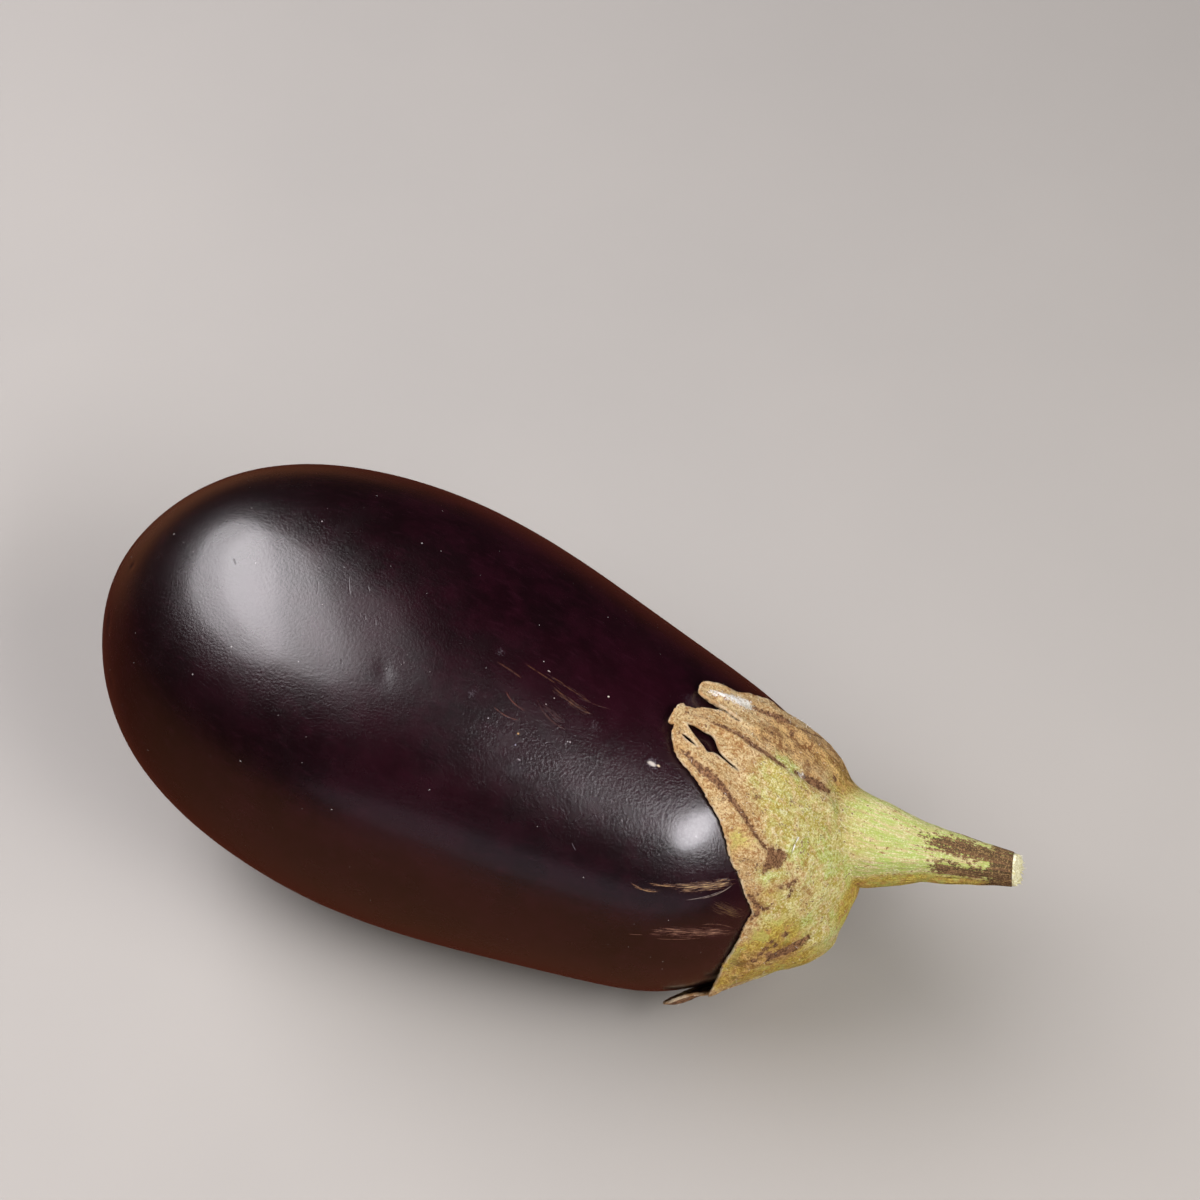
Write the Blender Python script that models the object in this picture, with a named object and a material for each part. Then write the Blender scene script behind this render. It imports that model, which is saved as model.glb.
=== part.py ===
"""An eggplant as picked, lying on its side: the fruit and its dried calyx with the cut stem.

The fruit's axis runs along X in the body's own frame, blossom end at -X and stem end at +X.
Both pieces are modelled there in metres, then laid down: the stem end drops by REST_PITCH,
until the belly is level under the weight, and a small flat spot is cut where it rests.
The world origin is under the middle of the whole object, on the surface that it lies on.
"""
from math import atan2, ceil, cos, exp, pi, radians, sin, sqrt

import bmesh
import bpy
import numpy as np
from mathutils import Matrix, Vector
from mathutils.geometry import delaunay_2d_cdt

MM = 0.001

# The fruit
FRUIT_LENGTH = 0.1768
FRUIT_DIAMETER = 0.095
# How the outline departs from an ellipse: one factor for each power of the place along the axis.
OUTLINE_TERMS = (-0.245, 0.010, 0.378, 0.603, -0.226, -0.572)
NECK_LEAN_Y = 0.0016
NECK_LEAN_Z = 0.0007
NECK_LEAN_START = 0.2
# The shoulder is less full on the near, lower side.
SHOULDER_CUT = 0.0020
SHOULDER_CUT_ANGLE = radians(-150)
SHOULDER_CUT_PLACE = 0.86
SHOULDER_CUT_WIDTH = 0.13
SHOULDER_CUT_POLE_RADIUS = 0.02
BLOSSOM_SCAR_DEPTH = 0.0007
BLOSSOM_SCAR_RADIUS = 0.0045
FRUIT_RINGS = 42
FRUIT_SIDES = 52
OUTLINE_PLACES = 2000
SLOPE_STEP = 0.004

# How it lies
REST_PITCH = radians(8.0)
FOOT_DEPTH = 0.0006

# The calyx. Its outline is given on the fruit's surface, as pairs of the distance from the
# stem pole in mm and the angle round the axis in degrees: 0 is +Y, 90 is up, 180 is -Y.
LOBE_A = ((46.0, 50.0), (50.0, 53.0), (53.7, 58.9), (56.9, 64.6), (62.2, 68.0), (63.6, 72.6),
          (62.6, 76.0), (57.4, 76.9))
LOBES_B_AND_C = ((61.0, 81.6), (64.9, 84.4), (65.6, 88.0), (65.2, 91.8), (63.5, 95.4),
                 (60.6, 100.4), (54.0, 105.0), (50.1, 109.8), (42.6, 118.7), (35.5, 131.3),
                 (30.6, 145.0))
LOBE_D = ((29.8, 150.0), (29.6, 162.0), (31.0, 178.0), (32.6, 193.0), (35.4, 202.5),
          (34.6, 206.5), (31.4, 209.5))
LOBE_E = ((36.0, 210.0), (42.6, 211.5), (44.5, 217.0), (41.5, 223.0), (36.0, 232.0),
          (31.5, 240.0))
LOBE_F = ((37.0, 250.0), (45.0, 260.0), (53.0, 268.0), (51.0, 276.0), (41.0, 286.0),
          (33.5, 296.0))
LOBE_G = ((37.0, 309.0), (46.0, 323.0), (54.5, 334.0), (55.5, 341.0), (49.0, 349.0),
          (41.0, 362.0), (36.5, 375.0), (40.0, 392.0))
# The slit between lobes B and C, whose dried tips have joined.
SLIT = ((60.9, 90.4), (59.4, 88.6), (56.5, 88.2), (53.5, 90.4), (50.0, 92.2), (46.6, 93.7),
        (50.0, 94.2), (53.0, 94.3), (56.0, 95.0), (58.6, 92.9))
# Ribs that run from the lobes up to the stem.
RIBS = (
    ((58.0, 72.0), (49.4, 60.4), (39.4, 58.2), (29.0, 55.0)),
    ((62.0, 85.6), (51.2, 83.6), (35.8, 83.9), (25.0, 76.0)),
    ((60.0, 95.8), (48.8, 103.2), (39.6, 112.8), (29.0, 122.0), (16.0, 122.0)),
    ((34.0, 200.0), (25.0, 178.0), (10.0, 168.0)),
    ((43.0, 216.0), (25.0, 226.0), (8.0, 235.0)),
    ((49.0, 271.0), (30.0, 275.0), (10.0, 290.0)),
    ((51.0, 338.0), (30.0, 345.0), (20.0, 355.0)),
)
CALYX_GAP = 0.00036
CALYX_EDGE = 0.0008
CALYX_MIDDLE = 0.0013
CALYX_THICKEN_OVER = 0.005
TIP_CURL = 0.0009
TIP_CURL_WIDTH = 0.0025
TIP_CURL_FROM = 0.036
TIP_CURL_TO = 0.060
# Lobe tips that have dried away from the fruit: place on the fruit and lift.
LIFTED_TIPS = (((64.9, 87.5), 0.0012), ((35.2, 203.5), 0.0022), ((43.5, 214.5), 0.0016))
LIFTED_TIP_WIDTH = 0.0045
RIB_HEIGHT = 0.0009
RIB_WIDTH = 0.0014
RIB_FADE_AT_EDGE = 0.003
RIB_MARKS = 12
CAP_MOUND = 0.0024
CAP_MOUND_WIDTH = 0.016
# Swellings of the calyx over the shoulder: place on the fruit and height.
SWELLINGS = (((31.0, 46.0), 0.0015), ((19.5, 212.0), 0.0010))
SWELLING_WIDTH = 0.0075
# The sheet is divided by steps and a clearance in mm on the fruit.
GRID_STEP = 2.7
GRID_RING_STEP = 2.43
GRID_REACH = 66.0
GRID_CLEARANCE = 1.5
OUTLINE_STEP = 2.3

# The stem, from the calyx to its cut end, in the body's frame. Its radii and the collar that
# leads into it go by the place along it, 0 at STEM_BASE and 1 at STEM_END.
STEM_BASE = Vector((0.0880, 0.0116, 0.0117))
STEM_END = Vector((0.1198, 0.0179, 0.0169))
STEM_RADII = ((-0.10, 0.0116), (0.0, 0.0102), (0.21, 0.0083), (0.41, 0.0063), (0.56, 0.0056),
              (0.71, 0.0048), (1.0, 0.0036))
STEM_RIBS = 5
STEM_RIB_DEPTH = 0.045
STEM_SIDES = 24
STEM_RINGS = 9
COLLAR_RINGS = 4
COLLAR_PLACE = (15.5, 47.7)
COLLAR_RADIUS = 12.6
COLLAR_RISE = -0.10
COLLAR_TOP = 0.12
# The cut slants: its far, lower side is longer.
CUT_SLANT = 0.28
CUT_LONG_SIDE = radians(-53)
CUT_SLANT_FROM = 0.6

SKIN_PURPLE = (0.022, 0.006, 0.016, 1.0)
CALYX_GREEN = (0.42, 0.36, 0.15, 1.0)


def clear_scene():
    for item in list(bpy.data.objects):
        bpy.data.objects.remove(item, do_unlink=True)


def make_material(name, colour, roughness):
    material = bpy.data.materials.new(name)
    material.use_nodes = True
    shader = material.node_tree.nodes["Principled BSDF"]
    shader.inputs["Base Color"].default_value = colour
    shader.inputs["Roughness"].default_value = roughness
    shader.inputs["Metallic"].default_value = 0.0
    return material


def make_object(name, bm, material):
    mesh = bpy.data.meshes.new(name)
    bm.to_mesh(mesh)
    bm.free()
    mesh.materials.append(material)
    mesh.shade_smooth()
    mesh.set_sharp_from_angle(angle=radians(50))
    item = bpy.data.objects.new(name, mesh)
    bpy.context.collection.objects.link(item)
    return item


def outline_shape(u):
    """Relative radius at u, which runs from -1 at the blossom end to 1 at the stem end."""
    factor = 1.0
    for power, term in enumerate(OUTLINE_TERMS, start=1):
        factor += term * u ** power
    return sqrt(max(0.0, 1.0 - u * u)) * factor


PLACES = [-cos(pi * i / OUTLINE_PLACES) for i in range(OUTLINE_PLACES + 1)]
WIDEST = max(outline_shape(u) for u in PLACES)


def fruit_radius(u):
    return outline_shape(u) / WIDEST * FRUIT_DIAMETER / 2


def arc_table():
    """Distance from the stem pole along the surface, for each of PLACES from its last back."""
    arcs = [0.0]
    for i in range(len(PLACES) - 1, 0, -1):
        run = (PLACES[i] - PLACES[i - 1]) * FRUIT_LENGTH / 2
        rise = fruit_radius(PLACES[i]) - fruit_radius(PLACES[i - 1])
        arcs.append(arcs[-1] + sqrt(run * run + rise * rise))
    return arcs


ARCS = arc_table()


def place_at(arc):
    return float(np.interp(arc, ARCS, PLACES[::-1]))


def fruit_point(u, angle, offset=0.0):
    """Point of the fruit's surface, or offset from it along the outward normal."""
    radius = fruit_radius(u)
    facing = max(0.0, cos(angle - SHOULDER_CUT_ANGLE))
    cut = exp(-((u - SHOULDER_CUT_PLACE) / SHOULDER_CUT_WIDTH) ** 2)
    radius -= SHOULDER_CUT * facing ** 2 * cut * min(1.0, radius / SHOULDER_CUT_POLE_RADIUS)
    lean = max(0.0, (u - NECK_LEAN_START) / (1 - NECK_LEAN_START)) ** 2
    point = Vector((u * FRUIT_LENGTH / 2, radius * cos(angle), radius * sin(angle)))
    point += Vector((0.0, NECK_LEAN_Y * lean, NECK_LEAN_Z * lean))
    if offset:
        low = max(-1.0, u - SLOPE_STEP)
        high = min(1.0, u + SLOPE_STEP)
        run = (high - low) * FRUIT_LENGTH / 2
        rise = fruit_radius(high) - fruit_radius(low)
        length = sqrt(run * run + rise * rise)
        along = -rise / length
        out = run / length
        point += offset * Vector((along, out * cos(angle), out * sin(angle)))
    return point


def surface_point(x_mm, y_mm, offset=0.0):
    """Point over the fruit for a point of the flat plan round the stem pole."""
    arc = sqrt(x_mm * x_mm + y_mm * y_mm) * MM
    return fruit_point(place_at(arc), atan2(y_mm, x_mm), offset)


def make_fruit():
    """The fruit as rings round its axis, with a shallow scar at the blossom end."""
    bm = bmesh.new()
    rings = []
    for i in range(1, FRUIT_RINGS):
        u = -cos(pi * i / FRUIT_RINGS)
        arc = ARCS[-1] - float(np.interp(u, PLACES, ARCS[::-1]))
        scar = BLOSSOM_SCAR_DEPTH * exp(-(arc / BLOSSOM_SCAR_RADIUS) ** 2)
        ring = []
        for j in range(FRUIT_SIDES):
            angle = 2 * pi * j / FRUIT_SIDES
            ring.append(bm.verts.new(fruit_point(u, angle, -scar)))
        rings.append(ring)
    blossom = bm.verts.new(fruit_point(-1.0, 0.0) + Vector((BLOSSOM_SCAR_DEPTH, 0.0, 0.0)))
    stem_pole = bm.verts.new(fruit_point(1.0, 0.0))
    for lower, upper in zip(rings, rings[1:]):
        for j in range(FRUIT_SIDES):
            k = (j + 1) % FRUIT_SIDES
            bm.faces.new((lower[j], upper[j], upper[k], lower[k]))
    for j in range(FRUIT_SIDES):
        k = (j + 1) % FRUIT_SIDES
        bm.faces.new((blossom, rings[0][j], rings[0][k]))
        bm.faces.new((stem_pole, rings[-1][k], rings[-1][j]))
    bmesh.ops.triangulate(bm, faces=bm.faces[:])
    bmesh.ops.recalc_face_normals(bm, faces=bm.faces[:])
    return bm


def cut_foot(bm, lift):
    """Cuts the small flat spot on the belly, level once the body is laid down."""
    up = Matrix.Rotation(REST_PITCH, 3, "Y").transposed() @ Vector((0.0, 0.0, 1.0))
    everything = bm.verts[:] + bm.edges[:] + bm.faces[:]
    bmesh.ops.bisect_plane(bm, geom=everything, plane_co=up * -lift, plane_no=up,
                           clear_inner=True, dist=1e-7)
    rim = [edge for edge in bm.edges if edge.is_boundary]
    bmesh.ops.holes_fill(bm, edges=rim, sides=0)
    bmesh.ops.recalc_face_normals(bm, faces=bm.faces[:])


def plan_point(pair):
    """Point of the flat plan round the stem pole, in mm, for a distance and an angle."""
    arc, angle = pair
    return Vector((arc * cos(radians(angle)), arc * sin(radians(angle))))


def smooth_loop(pairs, step):
    """Closed curve through the points, with a vertex about every step mm on the fruit."""
    points = [plan_point(pair) for pair in pairs]
    count = len(points)
    loop = []
    for i in range(count):
        before = points[i - 1]
        start = points[i]
        end = points[(i + 1) % count]
        after = points[(i + 2) % count]
        reach = (surface_point(*end) - surface_point(*start)).length / MM
        pieces = max(1, ceil(reach / step))
        for n in range(pieces):
            t = n / pieces
            loop.append(0.5 * (2 * start + (end - before) * t
                               + (2 * before - 5 * start + 4 * end - after) * t ** 2
                               + (3 * start - before - 3 * end + after) * t ** 3))
    return loop


def inside(point, loop):
    """Whether a point of the plan is inside a closed loop."""
    hit = False
    for i, first in enumerate(loop):
        second = loop[i - 1]
        if (first.y > point.y) != (second.y > point.y):
            cross = first.x + (point.y - first.y) * (second.x - first.x) / (second.y - first.y)
            if point.x < cross:
                hit = not hit
    return hit


def plan_grid(loops):
    """Points of rings round the pole that fill the calyx, clear of the loops."""
    outline, slit, collar = loops
    marks = np.array([tuple(surface_point(*p)) for loop in loops for p in loop])
    points = [Vector((0.0, 0.0))]
    arc = GRID_STEP
    ring = 0
    while arc < GRID_REACH:
        around = 2 * pi * fruit_radius(place_at(arc * MM)) / MM
        count = max(6, ceil(around / GRID_STEP))
        for j in range(count):
            angle = 360.0 * (j + 0.5 * (ring % 2)) / count
            point = plan_point((arc, angle))
            if not inside(point, outline) or inside(point, slit):
                continue
            away = np.array(tuple(surface_point(*point))) - marks
            if sqrt((away ** 2).sum(axis=1).min()) > GRID_CLEARANCE * MM:
                points.append(point)
        arc += GRID_RING_STEP
        ring += 1
    return points


def rib_samples():
    samples = []
    for rib in RIBS:
        for first, second in zip(rib, rib[1:]):
            for n in range(RIB_MARKS):
                t = n / RIB_MARKS
                pair = (first[0] + (second[0] - first[0]) * t,
                        first[1] + (second[1] - first[1]) * t)
                samples.append(tuple(surface_point(*plan_point(pair))))
    return np.array(samples)


def ramp(value, low, high):
    t = min(1.0, max(0.0, (value - low) / (high - low)))
    return t * t * (3 - 2 * t)


def calyx_offsets(point, edge_marks, rib_marks):
    """Distances of the calyx's lower and upper faces from the fruit at a point of the plan."""
    here = surface_point(*point)
    spot = np.array(tuple(here))
    to_edge = sqrt(((edge_marks - spot) ** 2).sum(axis=1).min())
    to_rib = sqrt(((rib_marks - spot) ** 2).sum(axis=1).min())
    arc = point.length * MM
    curl = TIP_CURL * exp(-to_edge / TIP_CURL_WIDTH) * ramp(arc, TIP_CURL_FROM, TIP_CURL_TO)
    lower = CALYX_GAP + curl
    for place, lift in LIFTED_TIPS:
        away = (here - surface_point(*plan_point(place))).length
        lower += lift * exp(-(away / LIFTED_TIP_WIDTH) ** 2)
    thickness = CALYX_EDGE + (CALYX_MIDDLE - CALYX_EDGE) * ramp(to_edge, 0, CALYX_THICKEN_OVER)
    thickness += RIB_HEIGHT * exp(-(to_rib / RIB_WIDTH) ** 2) * ramp(to_edge, 0, RIB_FADE_AT_EDGE)
    for place, height in SWELLINGS:
        away = (here - surface_point(*plan_point(place))).length
        thickness += height * exp(-(away / SWELLING_WIDTH) ** 2)
    from_stem = (here - STEM_BASE).length
    thickness += CAP_MOUND * exp(-(from_stem / CAP_MOUND_WIDTH) ** 2)
    return lower, lower + thickness


def stem_section(t, turns):
    """Ring of the stem at t, 0 at the calyx and 1 at the cut end, at the given angles."""
    axis = (STEM_END - STEM_BASE).normalized()
    across = (Vector((0.0, 1.0, 0.0)) - axis * axis.y).normalized()
    upward = axis.cross(across)
    if upward.z < 0:
        upward.negate()
    centre = STEM_BASE + (STEM_END - STEM_BASE) * t
    radius = float(np.interp(t, [r[0] for r in STEM_RADII], [r[1] for r in STEM_RADII]))
    slant = CUT_SLANT * max(0.0, t - CUT_SLANT_FROM) / (1 - CUT_SLANT_FROM)
    ring = []
    for turn in turns:
        reach = radius * (1 + STEM_RIB_DEPTH * cos(STEM_RIBS * turn))
        point = centre + reach * (cos(turn) * across + sin(turn) * upward)
        ring.append(point + axis * reach * slant * cos(turn - CUT_LONG_SIDE))
    return ring


def make_calyx():
    """The lobed calyx, laid over the fruit as a thin sheet, and the stem that rises from it."""
    pairs = LOBE_A + LOBES_B_AND_C + LOBE_D + LOBE_E + LOBE_F + LOBE_G
    outline = smooth_loop(pairs, OUTLINE_STEP)
    slit = smooth_loop(SLIT, OUTLINE_STEP)
    middle = plan_point(COLLAR_PLACE)
    turns = [2 * pi * i / STEM_SIDES for i in range(STEM_SIDES)]
    collar = [middle + COLLAR_RADIUS * Vector((cos(turn), sin(turn))) for turn in turns]
    loops = (outline, slit, collar)
    coords = []
    edges = []
    for loop in loops:
        start = len(coords)
        count = len(loop)
        coords.extend(loop)
        edges.extend((start + i, start + (i + 1) % count) for i in range(count))
    collar_start = len(outline) + len(slit)
    coords.extend(plan_grid(loops))
    plan, _, triangles, origins, _, _ = delaunay_2d_cdt(coords, edges, [], 0, 1e-5)
    new_index = {old: new for new, olds in enumerate(origins) for old in olds}
    collar_ring = [new_index[collar_start + i] for i in range(STEM_SIDES)]

    edge_marks = np.array([tuple(surface_point(*p)) for p in outline + slit])
    rib_marks = rib_samples()
    bm = bmesh.new()
    lower = []
    upper = []
    for point in plan:
        low, high = calyx_offsets(point, edge_marks, rib_marks)
        lower.append(bm.verts.new(surface_point(point.x, point.y, low)))
        upper.append(bm.verts.new(surface_point(point.x, point.y, high)))
    border = {}
    for triangle in triangles:
        centre = sum((plan[i] for i in triangle), Vector((0.0, 0.0))) / 3
        if not inside(centre, outline) or inside(centre, slit):
            continue
        bm.faces.new([lower[i] for i in reversed(triangle)])
        if not inside(centre, collar):
            bm.faces.new([upper[i] for i in triangle])
        for i, first in enumerate(triangle):
            second = triangle[(i + 1) % 3]
            if (second, first) in border:
                del border[(second, first)]
            else:
                border[(first, second)] = True
    for first, second in border:
        bm.faces.new((lower[first], lower[second], upper[second], upper[first]))

    first_ring = [upper[i] for i in collar_ring]
    rising = stem_section(COLLAR_RISE, turns)
    landing = stem_section(COLLAR_TOP, turns)
    rings = [first_ring]
    for n in range(1, COLLAR_RINGS + 1):
        t = n / COLLAR_RINGS
        ring = []
        for i, vertex in enumerate(first_ring):
            point = (1 - t) ** 2 * vertex.co + 2 * t * (1 - t) * rising[i] + t * t * landing[i]
            ring.append(bm.verts.new(point))
        rings.append(ring)
    for n in range(1, STEM_RINGS + 1):
        t = COLLAR_TOP + (1 - COLLAR_TOP) * n / STEM_RINGS
        rings.append([bm.verts.new(point) for point in stem_section(t, turns)])
    for near, far in zip(rings, rings[1:]):
        for i in range(STEM_SIDES):
            k = (i + 1) % STEM_SIDES
            bm.faces.new((near[i], near[k], far[k], far[i]))
    bmesh.ops.triangulate(bm, faces=bm.faces[:])
    bm.faces.new(rings[-1])
    loose = [vertex for vertex in bm.verts if not vertex.link_faces]
    bmesh.ops.delete(bm, geom=loose, context="VERTS")
    bmesh.ops.recalc_face_normals(bm, faces=bm.faces[:])
    return bm


def lay_down(items, lift):
    """Tips the body to its rest and centres it over the origin."""
    turn = Matrix.Rotation(REST_PITCH, 4, "Y")
    corners = [turn @ vertex.co for item in items for vertex in item.data.vertices]
    middle_x = (min(p.x for p in corners) + max(p.x for p in corners)) / 2
    middle_y = (min(p.y for p in corners) + max(p.y for p in corners)) / 2
    for item in items:
        item.rotation_euler = (0.0, REST_PITCH, 0.0)
        item.location = (-middle_x, -middle_y, lift)


def main():
    clear_scene()
    skin = make_material("skin", SKIN_PURPLE, 0.3)
    dried_green = make_material("dried_green", CALYX_GREEN, 0.75)
    fruit_mesh = make_fruit()
    turn = Matrix.Rotation(REST_PITCH, 3, "Y")
    lift = -min((turn @ vertex.co).z for vertex in fruit_mesh.verts) - FOOT_DEPTH
    cut_foot(fruit_mesh, lift)
    fruit = make_object("fruit", fruit_mesh, skin)
    calyx = make_object("calyx_and_stem", make_calyx(), dried_green)
    lay_down((fruit, calyx), lift)


main()
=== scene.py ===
"""The eggplant's look: its waxy skin, the dried calyx and the cut stem, finely modelled in the
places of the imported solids, on a pale floor under a soft studio light.

Shapes are built in the fruit's own frame, with its axis along X and the stem end at +X, and
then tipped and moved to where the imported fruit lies. A place on the fruit is given as its
distance from the stem pole along the skin, in mm, and its angle round the axis, in degrees:
0 is the far side, 90 the top and 180 the near side. The calyx is laid out on a flat plan of
such places, in mm round the stem pole. Other lengths are in metres where nothing else is said.
"""

from math import atan2, ceil, cos, pi, radians, sin

import bmesh
import bpy
import numpy as np
from mathutils import Matrix, Vector, kdtree, noise
from mathutils.geometry import delaunay_2d_cdt


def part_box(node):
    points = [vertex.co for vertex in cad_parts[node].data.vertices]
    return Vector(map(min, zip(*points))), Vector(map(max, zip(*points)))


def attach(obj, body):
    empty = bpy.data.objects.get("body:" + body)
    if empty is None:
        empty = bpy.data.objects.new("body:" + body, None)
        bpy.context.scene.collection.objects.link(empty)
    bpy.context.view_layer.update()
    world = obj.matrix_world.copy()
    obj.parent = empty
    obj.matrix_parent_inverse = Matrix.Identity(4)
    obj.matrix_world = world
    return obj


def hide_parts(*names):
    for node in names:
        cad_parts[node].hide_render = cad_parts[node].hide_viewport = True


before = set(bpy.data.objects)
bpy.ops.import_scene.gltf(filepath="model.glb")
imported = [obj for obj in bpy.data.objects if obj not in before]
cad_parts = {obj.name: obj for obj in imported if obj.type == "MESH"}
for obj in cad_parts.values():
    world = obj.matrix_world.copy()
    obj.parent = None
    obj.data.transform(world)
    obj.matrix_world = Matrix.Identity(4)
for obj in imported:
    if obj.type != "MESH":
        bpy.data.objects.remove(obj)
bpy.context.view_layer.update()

MM = 0.001

# The fruit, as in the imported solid
FRUIT_LENGTH = 0.1768
FRUIT_DIAMETER = 0.095
OUTLINE_TERMS = (-0.245, 0.010, 0.378, 0.603, -0.226, -0.572)
NECK_LEAN_Y = 0.0016
NECK_LEAN_Z = 0.0007
NECK_LEAN_START = 0.2
SHOULDER_CUT = 0.0020
SHOULDER_CUT_ANGLE = radians(-150)
SHOULDER_CUT_PLACE = 0.86
SHOULDER_CUT_WIDTH = 0.13
SHOULDER_CUT_POLE_RADIUS = 0.02
BLOSSOM_SCAR_DEPTH = 0.0007
BLOSSOM_SCAR_RADIUS = 0.0045
REST_PITCH = radians(8.0)
OUTLINE_PLACES = 4000
SLOPE_STEP = 0.004

# The skin's mesh and its relief
SKIN_RINGS = 290
SKIN_SIDES = 310
SKIN_SEAM_ANGLE = radians(-90)
# Soft waves of the skin: size and height
SKIN_WAVES = ((0.024, 0.00014), (0.010, 0.00003), (0.0045, 0.000010))
# Dents as short furrows: start, end, half width in mm and depth in mm
SKIN_DENTS = (
    ((123.9, 115.4), (120.7, 120.2), 1.5, 0.24),
    ((114.4, 117), (111, 119.6), 2.2, 0.06),
    ((198.5, 150), (194.7, 157.8), 1.3, 0.3),
    ((196.6, 116), (195.4, 119.5), 0.9, 0.2),
    ((187.5, 170), (185.5, 175.5), 1.6, 0.14),
    ((152.5, 18), (148, 22), 1.8, 0.22),
    ((99, 229), (96.5, 235), 2.2, 0.2),
)
# The mm that a radian stands for, in the flat map of the skin that its marks are drawn on
SKIN_MAP_RADIUS = 40.0

# The skin's marks are shared out over these materials, by distance from the stem pole in mm
SKIN_PARTS = (("waxy_skin_neck", (0.0, 68.0)), ("waxy_skin_middle", (68.0, 107.0)),
              ("waxy_skin_round", (107.0, 300.0)))

# The calyx's outline and ribs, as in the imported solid
LOBE_A = (
    (46, 50), (50, 53), (53.7, 60), (56.9, 65.3), (60.5, 67.9), (62.9, 70), (63.6, 73), (62.6, 76.3),
    (59, 77), (56, 76.6), (52.6, 76.4),
)
LOBES_B_AND_C = (
    (52.4, 77.1), (56.2, 77.5), (58.3, 79), (60.2, 80.9), (61.8, 83.8), (63, 84.7), (63.8, 85.5),
    (64.5, 84.8), (65.1, 86.4), (65.5, 89.5), (65.4, 92.4), (64.8, 93.5), (64, 92.8), (63.6, 94.9),
    (62.3, 98), (60.4, 101), (58, 102.8), (56.2, 103.7), (53.7, 105.6), (50.1, 109.3), (46.2, 113.1),
    (43.9, 117.3), (40, 124.9), (37.4, 128.3), (34.2, 135.3), (32.2, 139.3), (30.5, 144),
)
LOBE_D = (
    (31, 150), (31.4, 160), (31.9, 169), (32.7, 177), (33.3, 187), (34.2, 196), (35.4, 202.5),
    (34.6, 206.5), (31.4, 209.5),
)
LOBE_E = ((36.0, 210.0), (42.6, 211.5), (44.5, 217.0), (41.5, 223.0), (36.0, 232.0),
          (31.5, 240.0))
LOBE_F = ((37.0, 250.0), (45.0, 260.0), (53.0, 268.0), (51.0, 276.0), (41.0, 286.0),
          (33.5, 296.0))
LOBE_G = ((37.0, 309.0), (46.0, 323.0), (54.5, 334.0), (55.5, 341.0), (49.0, 349.0),
          (41.0, 362.0), (36.5, 375.0), (40.0, 392.0))
SLIT = (
    (61.5, 90.4), (60, 89.2), (57.5, 88.9), (56, 88.5), (54.9, 89.2), (53.4, 91.4), (51.5, 92.8),
    (47.4, 94), (49.3, 94.4), (51.2, 93.9), (53.6, 93.7), (55, 94.7), (56.3, 93.8), (58.6, 92.5),
    (60.4, 91.4),
)
CRACK = ((61.7, 94.1), (60.1, 93.7), (58.2, 94.4), (57.3, 94.9), (58.9, 95.1), (60.4, 94.8))
RIBS = (
    ((58, 72), (49.4, 60.4), (39.4, 58.2), (29, 55)),
    ((62, 85.6), (51.2, 83.6), (35.8, 83.9), (25, 76)),
    ((60, 95.8), (48.8, 103.2), (39.6, 112.8), (29, 122), (16, 122)),
    ((34, 200), (25, 178), (10, 168)),
    ((43, 216), (25, 226), (8, 235)),
    ((49, 271), (30, 275), (10, 290)),
    ((51, 338), (30, 345), (20, 355)),
)
CALYX_GAP = 0.00030
CALYX_EDGE = 0.0006
CALYX_MIDDLE = 0.0013
CALYX_THICKEN_OVER = 0.005
TIP_CURL = 0.0009
TIP_CURL_WIDTH = 0.0025
TIP_CURL_FROM = 0.036
TIP_CURL_TO = 0.060
# Lobe tips that have dried away from the fruit: place on the fruit and lift
LIFTED_TIPS = (((64.9, 88.5), 0.0012), ((35.2, 203.5), 0.0022), ((43.5, 214.5), 0.0016))
LIFTED_TIP_WIDTH = 0.0045
RIB_HEIGHT = 0.0007
RIB_WIDTH = 0.0016
CAP_MOUND = 0.0024
CAP_MOUND_WIDTH = 0.016
SWELLINGS = (((31.0, 46.0), 0.0015), ((11.0, 213.0), 0.0022))
SWELLING_WIDTH = 0.0075

# Dark lines on the calyx: points with a half width in mm at each
DARK_LINES = (
    ((54.2, 69.2, 0.25), (51.5, 66.6, 0.4), (48.5, 63.8, 0.6), (45.2, 60.8, 0.7), (41.5, 56, 0.6),
     (38.5, 47, 0.5), (35.2, 36, 0.25)),
    ((63.2, 87.2, 0.05), (60.5, 85.6, 0.1), (57.2, 84.6, 0.18), (54.2, 83.4, 0.35), (51.5, 82.4, 0.5),
     (47.6, 82.9, 0.75), (44.7, 82.2, 0.8), (41.3, 82, 0.65), (38.6, 80.2, 0.25)),
    ((36.8, 78.6, 0.4), (33.3, 75.7, 0.9), (30.5, 72.5, 1), (27.9, 69.7, 0.5)),
    ((60.4, 98.4, 0.1), (58.4, 99.2, 0.3), (57.2, 99.9, 0.45), (54.9, 100.9, 0.7), (52.3, 101.6, 0.85),
     (49.4, 102.9, 0.8), (46.4, 104.8, 0.6), (43.1, 107.3, 0.55), (40.3, 109.6, 0.42),
     (37.3, 112.7, 0.35), (34.6, 114.5, 0.28), (32.6, 115.6, 0.3)),
    ((33.4, 135.2, 0.3), (32.5, 136.5, 0.4), (30.4, 138.7, 0.5), (29.4, 142.5, 0.5), (30.6, 148, 0.4)),
    ((30.4, 138.7, 0.3), (28.4, 140.8, 0.4), (27.3, 139, 0.2)),
    ((35, 203, 0.2), (30.5, 200, 0.3), (27.9, 190.7, 0.5), (24.9, 183, 0.8), (21.9, 175.4, 1.2),
     (18.4, 172, 1.2), (15.9, 168, 0.8), (13.8, 164.3, 0.3)),
    ((43, 216, 0.1), (33, 221, 0.5), (20, 228, 0.3)),
    ((50, 271, 0.1), (40, 273, 0.5), (28, 277, 0.3)),
    ((53, 338, 0.1), (44, 340, 0.5), (30, 346, 0.3)),
)
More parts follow.
